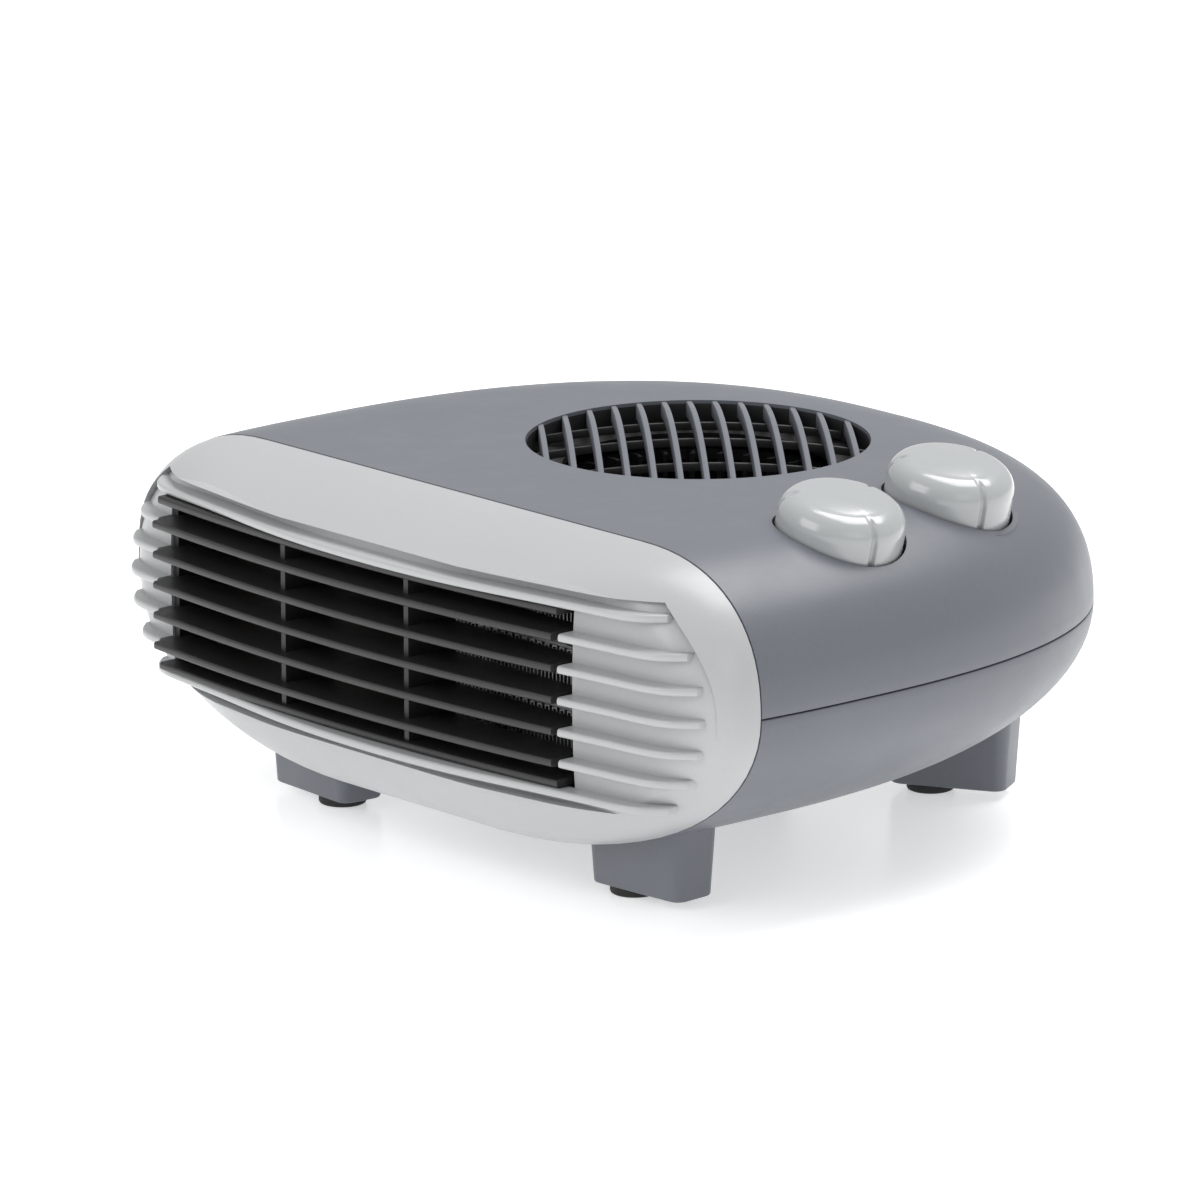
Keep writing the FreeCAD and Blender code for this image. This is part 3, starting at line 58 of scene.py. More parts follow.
# ---------------------------------------------------------------- sizes read from the frame
roof_low, roof_high = node_box("upper_casing")
grille_low, grille_high = node_box("outlet_grille")
PARTING_GAP = 0.3
PARTING = roof_low.z - 0.5 * PARTING_GAP
ROOF = roof_high.z
HALF_WIDTH = roof_high.x
SEAM = roof_low.y
GRILLE_PLAY = 0.2
OUTLET_X = 0.5 * (grille_low.x + grille_high.x)
OUTLET_HALF = 0.5 * (grille_high.x - grille_low.x) + GRILLE_PLAY
OUTLET_LOW, OUTLET_HIGH = grille_low.z - GRILLE_PLAY, grille_high.z + GRILLE_PLAY
joints = {joint["name"]: joint for joint in frame["joints"]}
fan_x, fan_y, _ = [c / MM for c in joints["fan_spin"]["pos_m"]]

# ---------------------------------------------------------------- sizes of the outside, in millimetres
HALF_LENGTH = 147.1
CENTRE_Y = roof_high.y - HALF_LENGTH
PLAN_POWER = 2.5
WALL = 2.5
# upper or lower half: width of its shoulder, rise from the parting line, power of its curve
SHOULDERS = {True: (46.0, ROOF - PARTING, 2.35), False: (88.0, 48.2, 1.95)}

INTAKE_RADIUS, INTAKE_RIM = 47.0, 0.8
BAR_HEADING, BAR_COUNT, BAR_PITCH, BAR_WIDTH, BAR_DEPTH = math.radians(51.5), 13, 7.0, 1.7, 4.2
BAR_CORNER, BAR_CORNER_MID, BAR_ARCH, BAR_SINK = 0.45, 0.13, 4.2, 0.2
CROSS_RIB_PITCH, CROSS_RIB_WIDTH, CROSS_RIB_DEPTH, CROSS_RIB_DROP = 24.0, 1.2, 2.2, 3.6

FOOT_HALF_WIDTH, FOOT_HALF_DEPTH, FOOT_ROUND, FOOT_SHIFT = 16.5, 7.0, 3.0, 6.5
FOOT_LOW, FOOT_TOP, FOOT_DRAFT = 3.0, 42.0, math.radians(4.0)
FOOT_HEADINGS = {"front_left": 4.0, "front_right": -4.0, "rear_left": 30.0, "rear_right": -30.0}
PAD_PROFILE = [(5.2, 0.0), (5.9, 0.06), (6.35, 0.3), (6.6, 0.8), (6.6, 4.0), (6.5, 4.25), (2.35, 4.3),
               (2.35, 8.8), (1.9, 9.0)]

BEZEL_DEPTH, BEZEL_LAST_SHARE = 33.8, 0.998
TOP_FALL, TOP_POWER, CHIN_RISE, SIDE_FALL, SIDE_POWER = 0.30, 1.6, 0.785, 0.335, 2.2
HOLLOW_DEPTH, HOLLOW_ACROSS, HOLLOW_UP, HOLLOW_DOWN = 11.0, 0.92, 0.92, 0.88
FAR_FRONT = -135.0
RECESS_LOW, RECESS_HIGH = 32.6, 91.2
RIB_HEIGHT, RIB_PITCH, RIB_MID, RIB_BACK = 2.2, 8.49, PARTING, -86.4
RIB_END_X, RIB_END_DROP, RIB_END_POWER = 117.0, 12.15, 2.3
# halves of plan curves, as (x, distance in front of the origin)
RIB_FRONT = [(0.0, 107.2), (40.0, 105.4), (74.2, 100.9), (85.0, 99.5), (95.0, 98.3), (104.5, 97.0),
             (111.0, 94.8), (117.0, 89.4)]
RECESS_FLOOR = [(0.0, 101.5), (40.0, 99.8), (74.0, 95.6), (95.0, 93.4), (105.0, 92.2), (112.0, 90.2),
                (117.0, 87.2), (119.5, 85.2)]
BROW = [(0.0, 104.5), (40.0, 102.8), (74.0, 98.2), (95.0, 93.0), (104.0, 87.0), (122.0, 72.0)]

GRILLE_WALL, GRILLE_BACK, GRILLE_FRAME_FRONT = 2.0, -79.4, -92.4
SLAT_REACH, SLAT_TOP, SLAT_BOW, SLAT_BACK, SLAT_ROUND, END_SLAT_SET_BACK = 82.8, 106.6, 5.3, -89.4, 0.75, 2.0
DIVIDER_X, DIVIDER_HALF_WIDTH, DIVIDER_FRONT, DIVIDER_BACK = 25.6, 0.9, -102.4, -86.0

KNOB_RADIUS, KNOB_HEIGHT, KNOB_SHOULDER, KNOB_CROWN = 17.2, 11.5, 5.0, 11.0
GROOVE_START, GROOVE_DEPTH, GROOVE_HALF_WIDTH = math.pi / 3.0 + 0.19, 1.1, 0.85


# ---------------------------------------------------------------- mesh helpers
def stack(loops, caps=(True, True)):
    """Vertices and faces of a skin through closed loops of equal length."""
    count = len(loops[0])
    verts = [tuple(point) for loop in loops for point in loop]
    faces = []
    for k in range(len(loops) - 1):
        for i in range(count):
            j = (i + 1) % count
            faces.append((k * count + i, k * count + j, (k + 1) * count + j, (k + 1) * count + i))
    if caps[0]:
        faces.append(tuple(range(count - 1, -1, -1)))
    if caps[1]:
        faces.append(tuple((len(loops) - 1) * count + i for i in range(count)))
    return verts, faces


def combine(parts):
    """Several skins as one."""
    verts, faces = [], []
    for part_verts, part_faces in parts:
        start = len(verts)
        verts += part_verts
        faces += [tuple(start + i for i in face) for face in part_faces]
    return verts, faces


def make(name, shape):
    verts, faces = shape
    mesh = bpy.data.meshes.new(name)
    mesh.from_pydata([[c * MM for c in vert] for vert in verts], [], faces)
    work = bmesh.new()
    work.from_mesh(mesh)
    bmesh.ops.recalc_face_normals(work, faces=work.faces)
    work.to_mesh(mesh)
    work.free()
    thing = bpy.data.objects.new(name, mesh)
    bpy.context.scene.collection.objects.link(thing)
    return thing


def bake(thing):
    """Turn an object's modifiers into its mesh."""
    bpy.context.view_layer.update()
    graph = bpy.context.evaluated_depsgraph_get()
    mesh = bpy.data.meshes.new_from_object(thing.evaluated_get(graph))
    thing.modifiers.clear()
    thing.data = mesh
    return thing


def carve(thing, cutters):
    """Take solids away from an object, one after another."""
    for i, shape in enumerate(cutters):
        cutter = make("cutter_%d" % i, shape)
        step = thing.modifiers.new("carve", "BOOLEAN")
        step.operation = "DIFFERENCE"
        step.solver = "EXACT"
        step.object = cutter
        bake(thing)
        bpy.data.objects.remove(cutter)
    return thing


def add_shape(thing, shape, cutters=()):
    """Join further closed skins to an object, once the cutters are taken from them."""
    extra = carve(make("extra", shape), cutters)
    work = bmesh.new()
    work.from_mesh(thing.data)
    work.from_mesh(extra.data)
    work.to_mesh(thing.data)
    work.free()
    bpy.data.objects.remove(extra)
    return thing


def place(thing, body, material, nodes, angle=32.0):
    """Shade a finished piece, give it its material, hang it on its body and hide the CAD nodes it stands in for.
    """
    thing.data.shade_smooth()
    thing.data.set_sharp_from_angle(angle=math.radians(angle))
    thing.data.materials.clear()
    thing.data.materials.append(material)
    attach(thing, body)
    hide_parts(*nodes)
    return thing


def prism(outline, low, high):
    return stack([[(x, y, z) for x, y in outline] for z in (low, high)])


def prism_y(outline, low, high):
    return stack([[(x, y, z) for x, z in outline] for y in (low, high)])


def rectangle(x_low, y_low, x_high, y_high):
    return [(x_low, y_low), (x_high, y_low), (x_high, y_high), (x_low, y_high)]


def lathe(profile, centre, turn=Matrix.Identity(3), count=96, ripple=None):
    """Skin turned about a local Z axis; ripple gives a smaller radius at an angle and height."""
    loops = []
    for radius, height in profile:
        loop = []
        for i in range(count):
            angle = 2.0 * math.pi * i / count
            reach = radius - (ripple(angle, radius, height) if ripple else 0.0)
            spoke = Vector((reach * math.cos(angle), reach * math.sin(angle), height))
            loop.append(Vector(centre) + turn @ spoke)
        loops.append(loop)
    return stack(loops)


def smooth_line(points, count):
    """Natural cubic through points, spaced by chord length, read at even steps."""
    points = np.array(points, float)
    knots = np.concatenate([[0.0], np.cumsum(np.linalg.norm(np.diff(points, axis=0), axis=1))])
    size, step = len(points), np.diff(knots)
    system, target = np.zeros((size, size)), np.zeros((size, points.shape[1]))
    system[0, 0] = system[-1, -1] = 1.0
    for i in range(1, size - 1):
        system[i, i - 1:i + 2] = step[i - 1], 2.0 * (step[i - 1] + step[i]), step[i]
        target[i] = 6.0 * ((points[i + 1] - points[i]) / step[i] - (points[i] - points[i - 1]) / step[i - 1])
    bend = np.linalg.solve(system, target)
    line = []
    for at in np.linspace(0.0, knots[-1], count):
        i = min(int(np.searchsorted(knots, at, side="right")) - 1, size - 2)
        h, a, b = step[i], knots[i + 1] - at, at - knots[i]
        value = (bend[i] * a ** 3 + bend[i + 1] * b ** 3) / (6.0 * h)
        value = value + (points[i] / h - bend[i] * h / 6.0) * a
        value = value + (points[i + 1] / h - bend[i + 1] * h / 6.0) * b
        line.append(tuple(value))
    return line


def both_sides(half, count=121):
    """Smooth plan curve through the points of one half and their mirror images."""
    return smooth_line([(-x, -front) for x, front in half[:0:-1]] + [(x, -front) for x, front in half], count)


def offset_line(line, distance):
    """Plan line moved towards +Y along its normals."""
    line = np.array(line)
    run = np.gradient(line, axis=0)
    normal = np.stack([-run[:, 1], run[:, 0]], axis=1)
    normal /= np.linalg.norm(normal, axis=1)[:, None]
    return [tuple(point) for point in line + normal * distance]


def bar_layers(low, high, radius):
    """(z, inset) of the layers of a bar whose two long edges are rounded."""
    turns = [math.radians(a) for a in (0, 22, 45, 67, 90)]
    rise = [(low + radius * (1.0 - math.sin(a)), radius * (1.0 - math.cos(a))) for a in turns[::-1]]
    fall = [(high - radius * (1.0 - math.sin(a)), radius * (1.0 - math.cos(a))) for a in turns]
    return rise + fall


def rounded_bar(front, back, low, high, radius=0.8):
    """Long bar in plan between a front line and a back line, its front edges rounded."""
    loops = []
    for z, inset in bar_layers(low, high, radius):
        near = offset_line(front, inset)
        loops.append([(x, y, z) for x, y in near] + [(x, y, z) for x, y in back])
    return stack(loops)


# ---------------------------------------------------------------- casing surface
def shoulder(angle, upper, wall=0.0):
    """Inset and rise of the side's curve, from the parting line at 0 to the roof or floor at 90 degrees."""
    inset, rise, power = SHOULDERS[upper]
    exponent = 2.0 / power
    across, along = max(math.cos(angle), 0.0), max(math.sin(angle), 0.0)
    return wall + (inset - wall) * (1.0 - across ** exponent), (rise - wall) * along ** exponent


def plan_x(y, inset):
    """Half width of the body in plan at a level set in from the widest one."""
    across, along = HALF_WIDTH - inset, HALF_LENGTH - inset
    share = min(abs(y - CENTRE_Y) / along, 1.0)
    return across * (1.0 - share ** PLAN_POWER) ** (1.0 / PLAN_POWER)


def casing_outline(inset, front_y, count=150):
    """Plan outline behind the seam, from its right end round the rear to its left end."""
    across, along = HALF_WIDTH - inset, HALF_LENGTH - inset
    start = math.atan2(front_y - CENTRE_Y, plan_x(front_y, inset))
    line = []
    for i in range(count):
        angle = start + (math.pi - 2.0 * start) * i / (count - 1)
        c, s = math.cos(angle), math.sin(angle)
        reach = (abs(c / across) ** PLAN_POWER + abs(s / along) ** PLAN_POWER) ** (-1.0 / PLAN_POWER)
        line.append((reach * c, CENTRE_Y + reach * s))
    return line


def casing_solid(upper, wall):
    """One casing half as a solid, its edge at the parting line eased, or the hollow inside a wall."""
    sign = 1.0 if upper else -1.0
    front_y = SEAM - (1.0 if wall else 0.0)
    base = PARTING + sign * 0.5 * PARTING_GAP
    levels = [(0.45, 0.0), (0.12, 0.14), (0.0, 0.45)] if not wall else [(wall, -1.0)]
    for i in range(1, 29):
        step, rise = shoulder(math.radians(90.0 * i / 28.0), upper, wall)
        if rise > 0.5:
            levels.append((step, rise))
    last_step, last_rise = levels[-1]
    levels += [(last_step + 1.5, last_rise), (last_step + 6.0, last_rise)] if upper else []
    return stack([[(x, y, base + sign * rise) for x, y in casing_outline(step, front_y)]
                  for step, rise in levels])


def knob_turn(joint):
    """Place and rotation of a control's own axis, from its joint."""
    axis = Vector(joints[joint]["axis"])
    centre = Vector(joints[joint]["pos_m"]) / MM
    return centre, Matrix.Rotation(math.atan2(axis.x, axis.z), 3, "Y")


# ---------------------------------------------------------------- procedural materials
def new_material(name, colour, rough, metallic=0.0, coat=0.0, grain=900.0, bump=0.05, mottle=0.05,
                 coat_rough=0.12, streak=None, specular=0.5):
    """Plastic, rubber or metal: fine surface grain, slow colour drift and uneven gloss."""
    material = bpy.data.materials.new(name)
    material.use_nodes = True
    nodes, links = material.node_tree.nodes, material.node_tree.links
    shader = nodes["Principled BSDF"]
    shader.inputs["Metallic"].default_value = metallic
    shader.inputs["Coat Weight"].default_value = coat
    shader.inputs["Coat Roughness"].default_value = coat_rough
    shader.inputs["Specular IOR Level"].default_value = specular
    coords = nodes.new("ShaderNodeTexCoord")
    stretch = nodes.new("ShaderNodeMapping")
    stretch.inputs["Scale"].default_value = streak or (1.0, 1.0, 1.0)
    links.new(coords.outputs["Object"], stretch.inputs["Vector"])

    def noise(scale, detail):
        field = nodes.new("ShaderNodeTexNoise")
        field.inputs["Scale"].default_value = scale
        field.inputs["Detail"].default_value = detail
        links.new(stretch.outputs["Vector"], field.inputs["Vector"])
        return field.outputs["Fac"]

    def ramp(factor, low, high):
        spread = nodes.new("ShaderNodeMapRange")
        spread.inputs["From Min"].default_value = 0.3
        spread.inputs["From Max"].default_value = 0.7
        spread.inputs["To Min"].default_value = low
        spread.inputs["To Max"].default_value = high
        links.new(factor, spread.inputs["Value"])
        return spread.outputs["Result"]

    drift = noise(18.0, 3.0)
    speckle = noise(grain * 0.6, 2.0)
    tone = nodes.new("ShaderNodeMix")
    tone.data_type = "RGBA"
    tone.inputs["A"].default_value = [c * (1.0 - mottle) for c in colour] + [1.0]
    tone.inputs["B"].default_value = [min(c * (1.0 + mottle), 1.0) for c in colour] + [1.0]
    blend = nodes.new("ShaderNodeMath")
    blend.operation = "MULTIPLY_ADD"
    blend.inputs[1].default_value = 0.45
    links.new(ramp(drift, 0.0, 1.0), blend.inputs[0])
    links.new(ramp(speckle, 0.0, 0.55), blend.inputs[2])
    links.new(blend.outputs[0], tone.inputs["Factor"])
    links.new(tone.outputs["Result"], shader.inputs["Base Color"])
    links.new(ramp(noise(60.0, 4.0), rough - 0.04, rough + 0.05), shader.inputs["Roughness"])
    relief = nodes.new("ShaderNodeBump")
    relief.inputs["Strength"].default_value = bump
    relief.inputs["Distance"].default_value = 0.0002
    links.new(noise(grain, 3.0), relief.inputs["Height"])
    links.new(relief.outputs["Normal"], shader.inputs["Normal"])
    return material


MATERIALS = {
    "casing": new_material("slate_satin_plastic", (0.124, 0.134, 0.155), 0.40, grain=1500.0, bump=0.16,
                           mottle=0.04),
    "bezel": new_material("light_grey_plastic", (0.405, 0.415, 0.42), 0.33, grain=1500.0, bump=0.06,
                          mottle=0.02),
    "grille": new_material("black_grille_plastic", (0.018, 0.017, 0.018), 0.42, grain=1200.0, bump=0.12,
                           mottle=0.2),
    "rubber": new_material("black_rubber", (0.012, 0.012, 0.013), 0.72, grain=700.0, bump=0.35, mottle=0.25),
    "knob": new_material("gloss_grey_plastic", (0.37, 0.385, 0.39), 0.20, coat=0.5, grain=600.0, bump=0.02,
                         mottle=0.015),
    "phenolic": new_material("phenolic", (0.055, 0.035, 0.025), 0.4, mottle=0.3),
    "white_nylon": new_material("nylon", (0.68, 0.66, 0.60), 0.45, mottle=0.05),
    "zinc_steel": new_material("zinc_plate", (0.55, 0.56, 0.58), 0.35, metallic=1.0, grain=400.0,
                               mottle=0.12),
    "fan_plastic": new_material("fan_nylon", (0.02, 0.02, 0.022), 0.45, mottle=0.2),
    "steel": new_material("ground_steel", (0.5, 0.5, 0.51), 0.28, metallic=1.0, streak=(1.0, 1.0, 12.0),
                          mottle=0.08),
    "lamination": new_material("lamination", (0.16, 0.16, 0.175), 0.45, metallic=1.0, streak=(1.0, 1.0, 30.0),
                               mottle=0.3),
    "coil_tape": new_material("coil_tape", (0.42, 0.28, 0.05), 0.35, coat=0.4, streak=(12.0, 1.0, 1.0),
                              mottle=0.15),
    "bronze": new_material("bronze", (0.36, 0.23, 0.10), 0.5, metallic=1.0, grain=1500.0, mottle=0.2),
    "duct_plastic": new_material("duct_plastic", (0.02, 0.02, 0.021), 0.5, mottle=0.2),
    "fin_aluminium": new_material("fin_foil", (0.55, 0.55, 0.56), 0.4, metallic=1.0, mottle=0.1),
    "ceramic": new_material("ceramic", (0.30, 0.27, 0.22), 0.6, grain=800.0, mottle=0.2),
    "screw": new_material("blackened_steel", (0.06, 0.06, 0.065), 0.35, metallic=1.0, mottle=0.2),
}
for row in frame["record"]["subparts"]:
    for holder in frame["nodes"][row["node"]].material_slots:
        holder.material = MATERIALS[row["material_slot"]]


# ---------------------------------------------------------------- camera, floor and light
def build_stage():
    """Long lens from the front right and a little above, white floor, three soft lamps."""
    scene = bpy.context.scene
    azimuth, rise, distance = math.radians(48.44), math.radians(14.14), 2.8155
    target, middle = Vector((0.0, 0.01395, 0.055)), Vector((0.0, 0.0, 0.05))
    look = Vector((-math.sin(azimuth) * math.cos(rise), math.cos(azimuth) * math.cos(rise), -math.sin(rise)))
    lens = bpy.data.cameras.new("camera")
    lens.sensor_width = 36.0
    lens.lens = 309.66
    lens.shift_x, lens.shift_y = -0.0818, 0.0020
    lens.clip_end = 50.0
    camera = bpy.data.objects.new("camera", lens)
    camera.location = target - look * distance
    camera.rotation_euler = look.to_track_quat("-Z", "Y").to_euler()
    scene.collection.objects.link(camera)
    scene.camera = camera

    far = 9000
    square = [(-far, -far, 0), (far, -far, 0), (far, far, 0), (-far, far, 0)]
    ground = make("floor", stack([square], caps=(False, True)))
    white = bpy.data.materials.new("studio_floor")
    white.use_nodes = True
    shader = white.node_tree.nodes["Principled BSDF"]
    shader.inputs["Base Color"].default_value = (0.93, 0.93, 0.93, 1.0)
    shader.inputs["Roughness"].default_value = 0.22
    shader.inputs["Emission Color"].default_value = (1.0, 1.0, 1.0, 1.0)
    shader.inputs["Emission Strength"].default_value = 0.48
    ground.data.materials.append(white)

    world = bpy.data.worlds.new("studio")
    world.use_nodes = True
    world.node_tree.nodes["Background"].inputs["Color"].default_value = (1.0, 1.0, 1.0, 1.0)
    world.node_tree.nodes["Background"].inputs["Strength"].default_value = 0.62
    scene.world = world
    scene.view_settings.view_transform = "Standard"
    scene.view_settings.look = "None"
    # name, place, size and power of each lamp
    for name, spot, size, power in (
        ("top_light", (0.0, 1.0, 2.2), 1.6, 50.0),
        ("front_light", (-0.3, -2.3, 1.5), 1.6, 24.0),
        ("side_light", (2.6, -0.6, 1.1), 1.2, 4.0),
    ):
        lamp = bpy.data.lights.new(name, "AREA")
        lamp.size = size
        lamp.energy = power
        holder = bpy.data.objects.new(name, lamp)
        holder.location = spot
        aim = middle - Vector(spot)
        holder.rotation_euler = aim.to_track_quat("-Z", "Y").to_euler()
        scene.collection.objects.link(holder)


# ---------------------------------------------------------------- upper casing with the intake grille
def build_upper_casing():
    """Shell with the intake hole and a cup under each knob, then the bars across the intake."""
    shell = make("casing_top", casing_solid(True, 0.0))
    intake = lathe([(INTAKE_RADIUS, 60.0), (INTAKE_RADIUS, 120.0)], (fan_x, fan_y, 0.0))
    holes = [casing_solid(True, WALL), intake]
    cups = []
    for joint in ("thermostat_turn", "selector_turn"):
        centre, turn = knob_turn(joint)
        holes.append(lathe([(18.0, -7.0), (18.0, 20.0)], centre, turn))
        cups.append(lathe([(4.4, -6.4), (18.0, -6.4), (18.0, -2.0), (19.5, -2.0), (19.5, -9.0), (4.4, -9.0)],
                          centre, turn))
    carve(shell, holes)
    along = Vector((-math.sin(BAR_HEADING), math.cos(BAR_HEADING), 0.0))
    across = Vector((along.y, -along.x, 0.0))
    centre = Vector((fan_x, fan_y, ROOF))

    def dome(radius_squared):
        return BAR_ARCH * (1.0 - radius_squared / INTAKE_RADIUS ** 2) - BAR_SINK

    def arched(offset, run, side, width, depth, drop):
        """One bar across the intake, arched in both directions, its ends buried in the rim."""
        reach = math.sqrt((INTAKE_RADIUS + 0.4) ** 2 - offset ** 2)
        half, corner, mid = 0.5 * width, BAR_CORNER, BAR_CORNER_MID
        section = [(-half, -depth), (-half, -corner), (-half + mid, -mid), (-half + corner, 0.0),
                   (half - corner, 0.0), (half - mid, -mid), (half, -corner), (half, -depth)]
        loops = []
        for k in range(33):
            t = reach * (k / 16.0 - 1.0)
            top = dome(min(offset ** 2 + t ** 2, INTAKE_RADIUS ** 2)) - drop
            loops.append([centre + run * t + side * (offset + u) + Vector((0, 0, top + w))
                          for u, w in section])
        return stack(loops)

    bars = [arched((i - BAR_COUNT // 2) * BAR_PITCH, along, across, BAR_WIDTH, BAR_DEPTH, 0.0)
            for i in range(BAR_COUNT)]
    # cross ribs under the bars; casing plastic in the real heater, made black further down as painted shade
    ribs = [arched(k * CROSS_RIB_PITCH, across, along, CROSS_RIB_WIDTH, CROSS_RIB_DEPTH, CROSS_RIB_DROP)
            for k in (-1, 0, 1)]
    add_shape(shell, combine(bars + cups))
    place(shell, "casing", MATERIALS["casing"], ["upper_casing"])
    # black ring over the hole's wall below the rim: painted shade, since that wall is casing plastic lying in
    # shade
    inside, outside = INTAKE_RADIUS - 0.3, INTAKE_RADIUS + 0.05
    high, low = ROOF - INTAKE_RIM, ROOF - 7.0
    verts, faces = lathe([(inside, high), (outside, high), (outside, low), (inside, low), (inside, high)],
                         (fan_x, fan_y, 0.0), count=128)
    shade_ring = (verts, [face for face in faces if len(face) == 4])
    shade_piece = make("intake_painted_shade", combine(ribs + [shade_ring]))
    # black plastic on the ring and cross ribs is painted shade for the dark inside of the intake
    place(shade_piece, "casing", MATERIALS["duct_plastic"], ["upper_casing"])


# ---------------------------------------------------------------- lower casing with its feet
def foot_shape(x, y, heading, shift):
    """Drafted post with a rounded rectangle for its plan, its lower edge rounded."""
    turn = Matrix.Rotation(heading, 3, "Z")
    loops = []
    top_grow = (FOOT_TOP - FOOT_LOW) * math.tan(FOOT_DRAFT)
    for z, grow in ((2.4, -0.6), (2.6, -0.2), (FOOT_LOW, 0.0), (FOOT_TOP, top_grow)):
        half_width, half_depth = FOOT_HALF_WIDTH + grow, FOOT_HALF_DEPTH + grow
        radius = FOOT_ROUND + max(grow, 0.0)
        loop = []
        for i, (su, sv) in enumerate(((1, -1), (1, 1), (-1, 1), (-1, -1))):
            for k in range(9):
                angle = math.radians(-90.0 + 90.0 * i + 90.0 * k / 8.0)
                u = su * (half_width - radius) + radius * math.cos(angle)
                v = sv * (half_depth - radius) + radius * math.sin(angle)
                loop.append(Vector((x, y, z)) + turn @ Vector((u + shift, v, 0.0)))
        loops.append(loop)
    return stack(loops)


def build_lower_casing():
    shell = make("casing_base", casing_solid(False, 0.0))
    vents = [prism(rectangle(i * 6.0 - 1.2, fan_y - 13.0, i * 6.0 + 1.2, fan_y + 15.0), -2.0, 24.0)
             for i in range(-4, 5)]
    carve(shell, [casing_solid(False, WALL), combine(vents)])
    feet = []
    for name, heading in FOOT_HEADINGS.items():
        low, high = node_box("foot_pad_" + name)
        middle = 0.5 * (low + high)
        shift = math.copysign(FOOT_SHIFT, middle.x)
        feet.append(foot_shape(middle.x, middle.y, math.radians(heading), shift))
    add_shape(shell, combine(feet), [casing_solid(False, WALL)])
    place(shell, "casing", MATERIALS["casing"], ["lower_casing"])


# ---------------------------------------------------------------- bezel
def seam_half(inset_wall):
    """Right half of the casing's front outline as (x, height above the parting line), low to high."""
    points = []
    for upper in (False, True):
        side = []
        for i in range(19):
            step, rise = shoulder(math.radians(5.0 * i), upper, inset_wall)
            side.append((plan_x(SEAM, step), rise if upper else -rise))
        points += side[::-1] if not upper else side[1:]
    return points


def bezel_section(share, trim=0.0):
    """Closed outline of the bezel at a share of its depth, scaled from the outline at the seam."""
    fall = 1.0 - TOP_FALL * share ** TOP_POWER
    chin = 1.0 - CHIN_RISE * (1.0 - math.sqrt(max(1.0 - share ** 2, 0.0)))
    narrow = 1.0 - SIDE_FALL * share ** SIDE_POWER
    half = [((x - trim) * narrow, PARTING + (z - math.copysign(trim, z)) * (fall if z > 0 else chin))
            for x, z in seam_half(0.0)]
    flat_top = [(half[-1][0] * (1.0 - 2.0 * k / 16.0), half[-1][1]) for k in range(1, 16)]
    flat_low = [(-half[0][0] * (1.0 - 2.0 * k / 12.0), half[0][1]) for k in range(1, 12)]
    return half + flat_top + [(-x, z) for x, z in half[::-1]] + flat_low


def front_outline(half):
    """Everything in front of a plan curve, as a closed outline."""
    line = both_sides(half)
    return line + [(line[-1][0], FAR_FRONT), (line[0][0], FAR_FRONT)]


def front_cutter(half, low, high):
    return prism(front_outline(half), low, high)


def rib_levels():
    middle = [RIB_MID + k * RIB_PITCH - 0.5 * RIB_HEIGHT for k in (-2, -1, 0, 1, 2)]
    return [OUTLET_LOW - RIB_HEIGHT] + middle + [OUTLET_HIGH]


def narrowed(half, z):
    """Plan curve drawn in towards the middle, as the bezel's side curves away above and below."""
    levels = rib_levels()
    share = abs(z - RIB_MID) / (0.5 * (levels[-1] - levels[0]))
    narrow = 1.0 - RIB_END_DROP / RIB_END_X * share ** RIB_END_POWER
    return [(x * narrow, front) for x, front in half]


def recess_cutter(count=33):
    loops = []
    for k in range(count):
        z = RECESS_LOW + (RECESS_HIGH - RECESS_LOW) * k / (count - 1.0)
        loops.append([(x, y, z) for x, y in front_outline(narrowed(RECESS_FLOOR, z))])
    return stack(loops)


def rib_shapes():
    """The ribs; those between the outermost two are broken by the outlet."""
    shapes = []
    levels = rib_levels()
    for i, low in enumerate(levels):
        line = both_sides(narrowed(RIB_FRONT, low + 0.5 * RIB_HEIGHT), 161)
        runs = [line]
        if 0 < i < len(levels) - 1:
            left_end, right_end = OUTLET_X - OUTLET_HALF, OUTLET_X + OUTLET_HALF
            runs = [[p for p in line if p[0] < left_end] + [at_x(line, left_end)],
                    [at_x(line, right_end)] + [p for p in line if p[0] > right_end]]
        for run in runs:
            back = [(x, RIB_BACK) for x, _ in run[::-1]]
            shapes.append(rounded_bar(run, back, low, low + RIB_HEIGHT))
    return shapes


def at_x(line, x):
    """Point of a plan line at a given x."""
    for (x_low, y_low), (x_high, y_high) in zip(line, line[1:]):
        if x_low <= x <= x_high:
            return x, y_low + (y_high - y_low) * (x - x_low) / (x_high - x_low)
    raise ValueError("no point at %.1f" % x)


def build_bezel():
    """Skin swept forward from the seam, recessed round the ribs and hollow behind."""
    shares = [min(math.sin(0.5 * math.pi * i / 34.0), BEZEL_LAST_SHARE) for i in range(35)]
    loops = [[(x, SEAM, z) for x, z in bezel_section(0.0, 0.5)]]
    loops += [[(x, SEAM - max(BEZEL_DEPTH * share, 0.5), z) for x, z in bezel_section(share)]
              for share in shares]
    shell = make("bezel", stack(loops))
    inner = [(HOLLOW_ACROSS * x, PARTING + z * (HOLLOW_UP if z > 0 else HOLLOW_DOWN))
             for x, z in seam_half(WALL)]
    hollow = inner + [(-x, z) for x, z in inner[::-1]]
    outlet = rectangle(OUTLET_X - OUTLET_HALF, OUTLET_LOW, OUTLET_X + OUTLET_HALF, OUTLET_HIGH)
    carve(shell, [
        front_cutter(BROW, RECESS_HIGH, 120.0),
        front_cutter(BROW, -5.0, RECESS_LOW),
        recess_cutter(),
        prism_y(hollow, SEAM + 1.0, SEAM - HOLLOW_DEPTH),
        prism_y(outlet, -70.0, -130.0),
    ])
    add_shape(shell, combine(rib_shapes()))
    place(shell, "casing", MATERIALS["bezel"], ["front_bezel"])


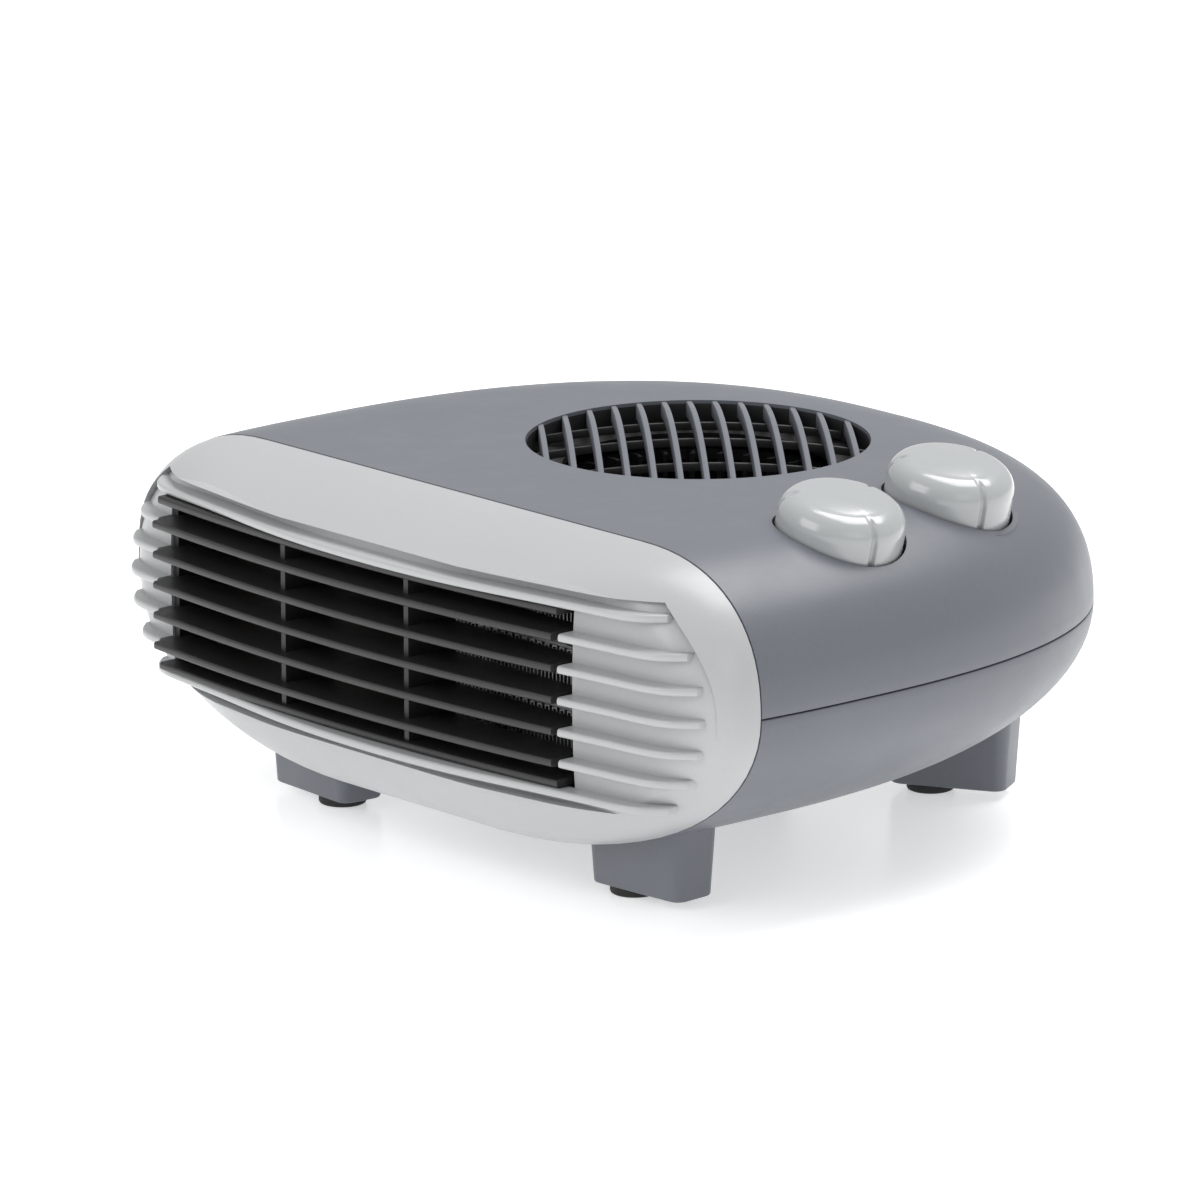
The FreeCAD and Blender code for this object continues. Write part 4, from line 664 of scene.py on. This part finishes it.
# ---------------------------------------------------------------- outlet grille
def build_grille():
    """Frame in the outlet, seven bowed slats and two dividers."""
    low, high = OUTLET_LOW + GRILLE_PLAY, OUTLET_HIGH - GRILLE_PLAY
    half, wall = OUTLET_HALF - GRILLE_PLAY, GRILLE_WALL
    outer = rectangle(OUTLET_X - half, low, OUTLET_X + half, high)
    inner = rectangle(OUTLET_X - half + wall, low + wall, OUTLET_X + half - wall, high - wall)
    corners = ((outer, GRILLE_BACK), (outer, GRILLE_FRAME_FRONT), (inner, GRILLE_FRAME_FRONT),
               (inner, GRILLE_BACK), (outer, GRILLE_BACK))
    parts = [stack([[(x, y, z) for x, z in edge] for edge, y in corners], caps=(False, False))]
    levels = rib_levels()
    levels[0], levels[-1] = low, high - RIB_HEIGHT
    for level in levels:
        crest = SLAT_TOP - (END_SLAT_SET_BACK if level in (levels[0], levels[-1]) else 0.0)
        shares = [k / 40.0 - 1.0 for k in range(81)]
        front = [(OUTLET_X + SLAT_REACH * share, -crest + SLAT_BOW * share ** 2) for share in shares]
        back = [(x, SLAT_BACK) for x, _ in front[::-1]]
        parts.append(rounded_bar(front, back, level, level + RIB_HEIGHT, SLAT_ROUND))
    for side in (-1, 1):
        x = OUTLET_X + side * DIVIDER_X
        outline = rectangle(x - DIVIDER_HALF_WIDTH, DIVIDER_FRONT, x + DIVIDER_HALF_WIDTH, DIVIDER_BACK)
        parts.append(prism(outline, low + 0.5, high - 0.5))
    grille = make("grille_slats", combine(parts))
    place(grille, "casing", MATERIALS["grille"], ["outlet_grille"])


# ---------------------------------------------------------------- knobs and pads
def knob_profile():
    """Skirt, domed edge and nearly flat crown, from inside the skirt up to the middle."""
    radius, height, shoulder_z, crown = KNOB_RADIUS, KNOB_HEIGHT, KNOB_SHOULDER, KNOB_CROWN
    across, rise = radius - crown, height - shoulder_z
    dome_radius = (across ** 2 + rise ** 2) / (2.0 * rise)
    centre_z = height - dome_radius
    start = math.asin((shoulder_z - centre_z) / dome_radius)
    dome = []
    for k in range(25):
        angle = start + (0.5 * math.pi - start) * k / 24.0
        dome.append((crown + dome_radius * math.cos(angle), centre_z + dome_radius * math.sin(angle)))
    dome += [(crown * c, height + 0.9 * (1.0 - c ** 2)) for c in (0.9, 0.8, 0.65, 0.5, 0.35, 0.2, 0.05)]
    skirt = [(radius - 2.0, -4.6), (radius - 0.4, -4.9), (radius, -4.5), (radius, 0.0),
             (radius, shoulder_z - 1.0)]
    return [(0.6, 5.0), (radius - 4.0, 3.0), (radius - 2.0, -1.0)] + skirt + dome


def groove(angle, radius, height):
    """Depth of the three grip grooves, fading out towards the crown."""
    if radius < 9.0 or height < -4.6:
        return 0.0
    third = 2.0 * math.pi / 3.0
    turn = abs((angle + GROOVE_START) % third - math.pi / 3.0) * radius
    return GROOVE_DEPTH * math.exp(-(turn / GROOVE_HALF_WIDTH) ** 4) * min((radius - 9.0) / 5.0, 1.0)


def build_knobs():
    for control in ("thermostat", "selector"):
        centre, turn = knob_turn(control + "_turn")
        knob = make(control + "_dial", lathe(knob_profile(), centre, turn, 480, groove))
        place(knob, control + "_control", MATERIALS["knob"], [control + "_knob"])


def build_pads():
    for name in FOOT_HEADINGS:
        low, high = node_box("foot_pad_" + name)
        middle = 0.5 * (low + high)
        pad = make("pad_" + name, lathe(PAD_PROFILE, (middle.x, middle.y, 0.0), count=72))
        place(pad, "casing", MATERIALS["rubber"], ["foot_pad_" + name], 45.0)


build_stage()
build_upper_casing()
build_lower_casing()
build_bezel()
build_grille()
build_knobs()
build_pads()
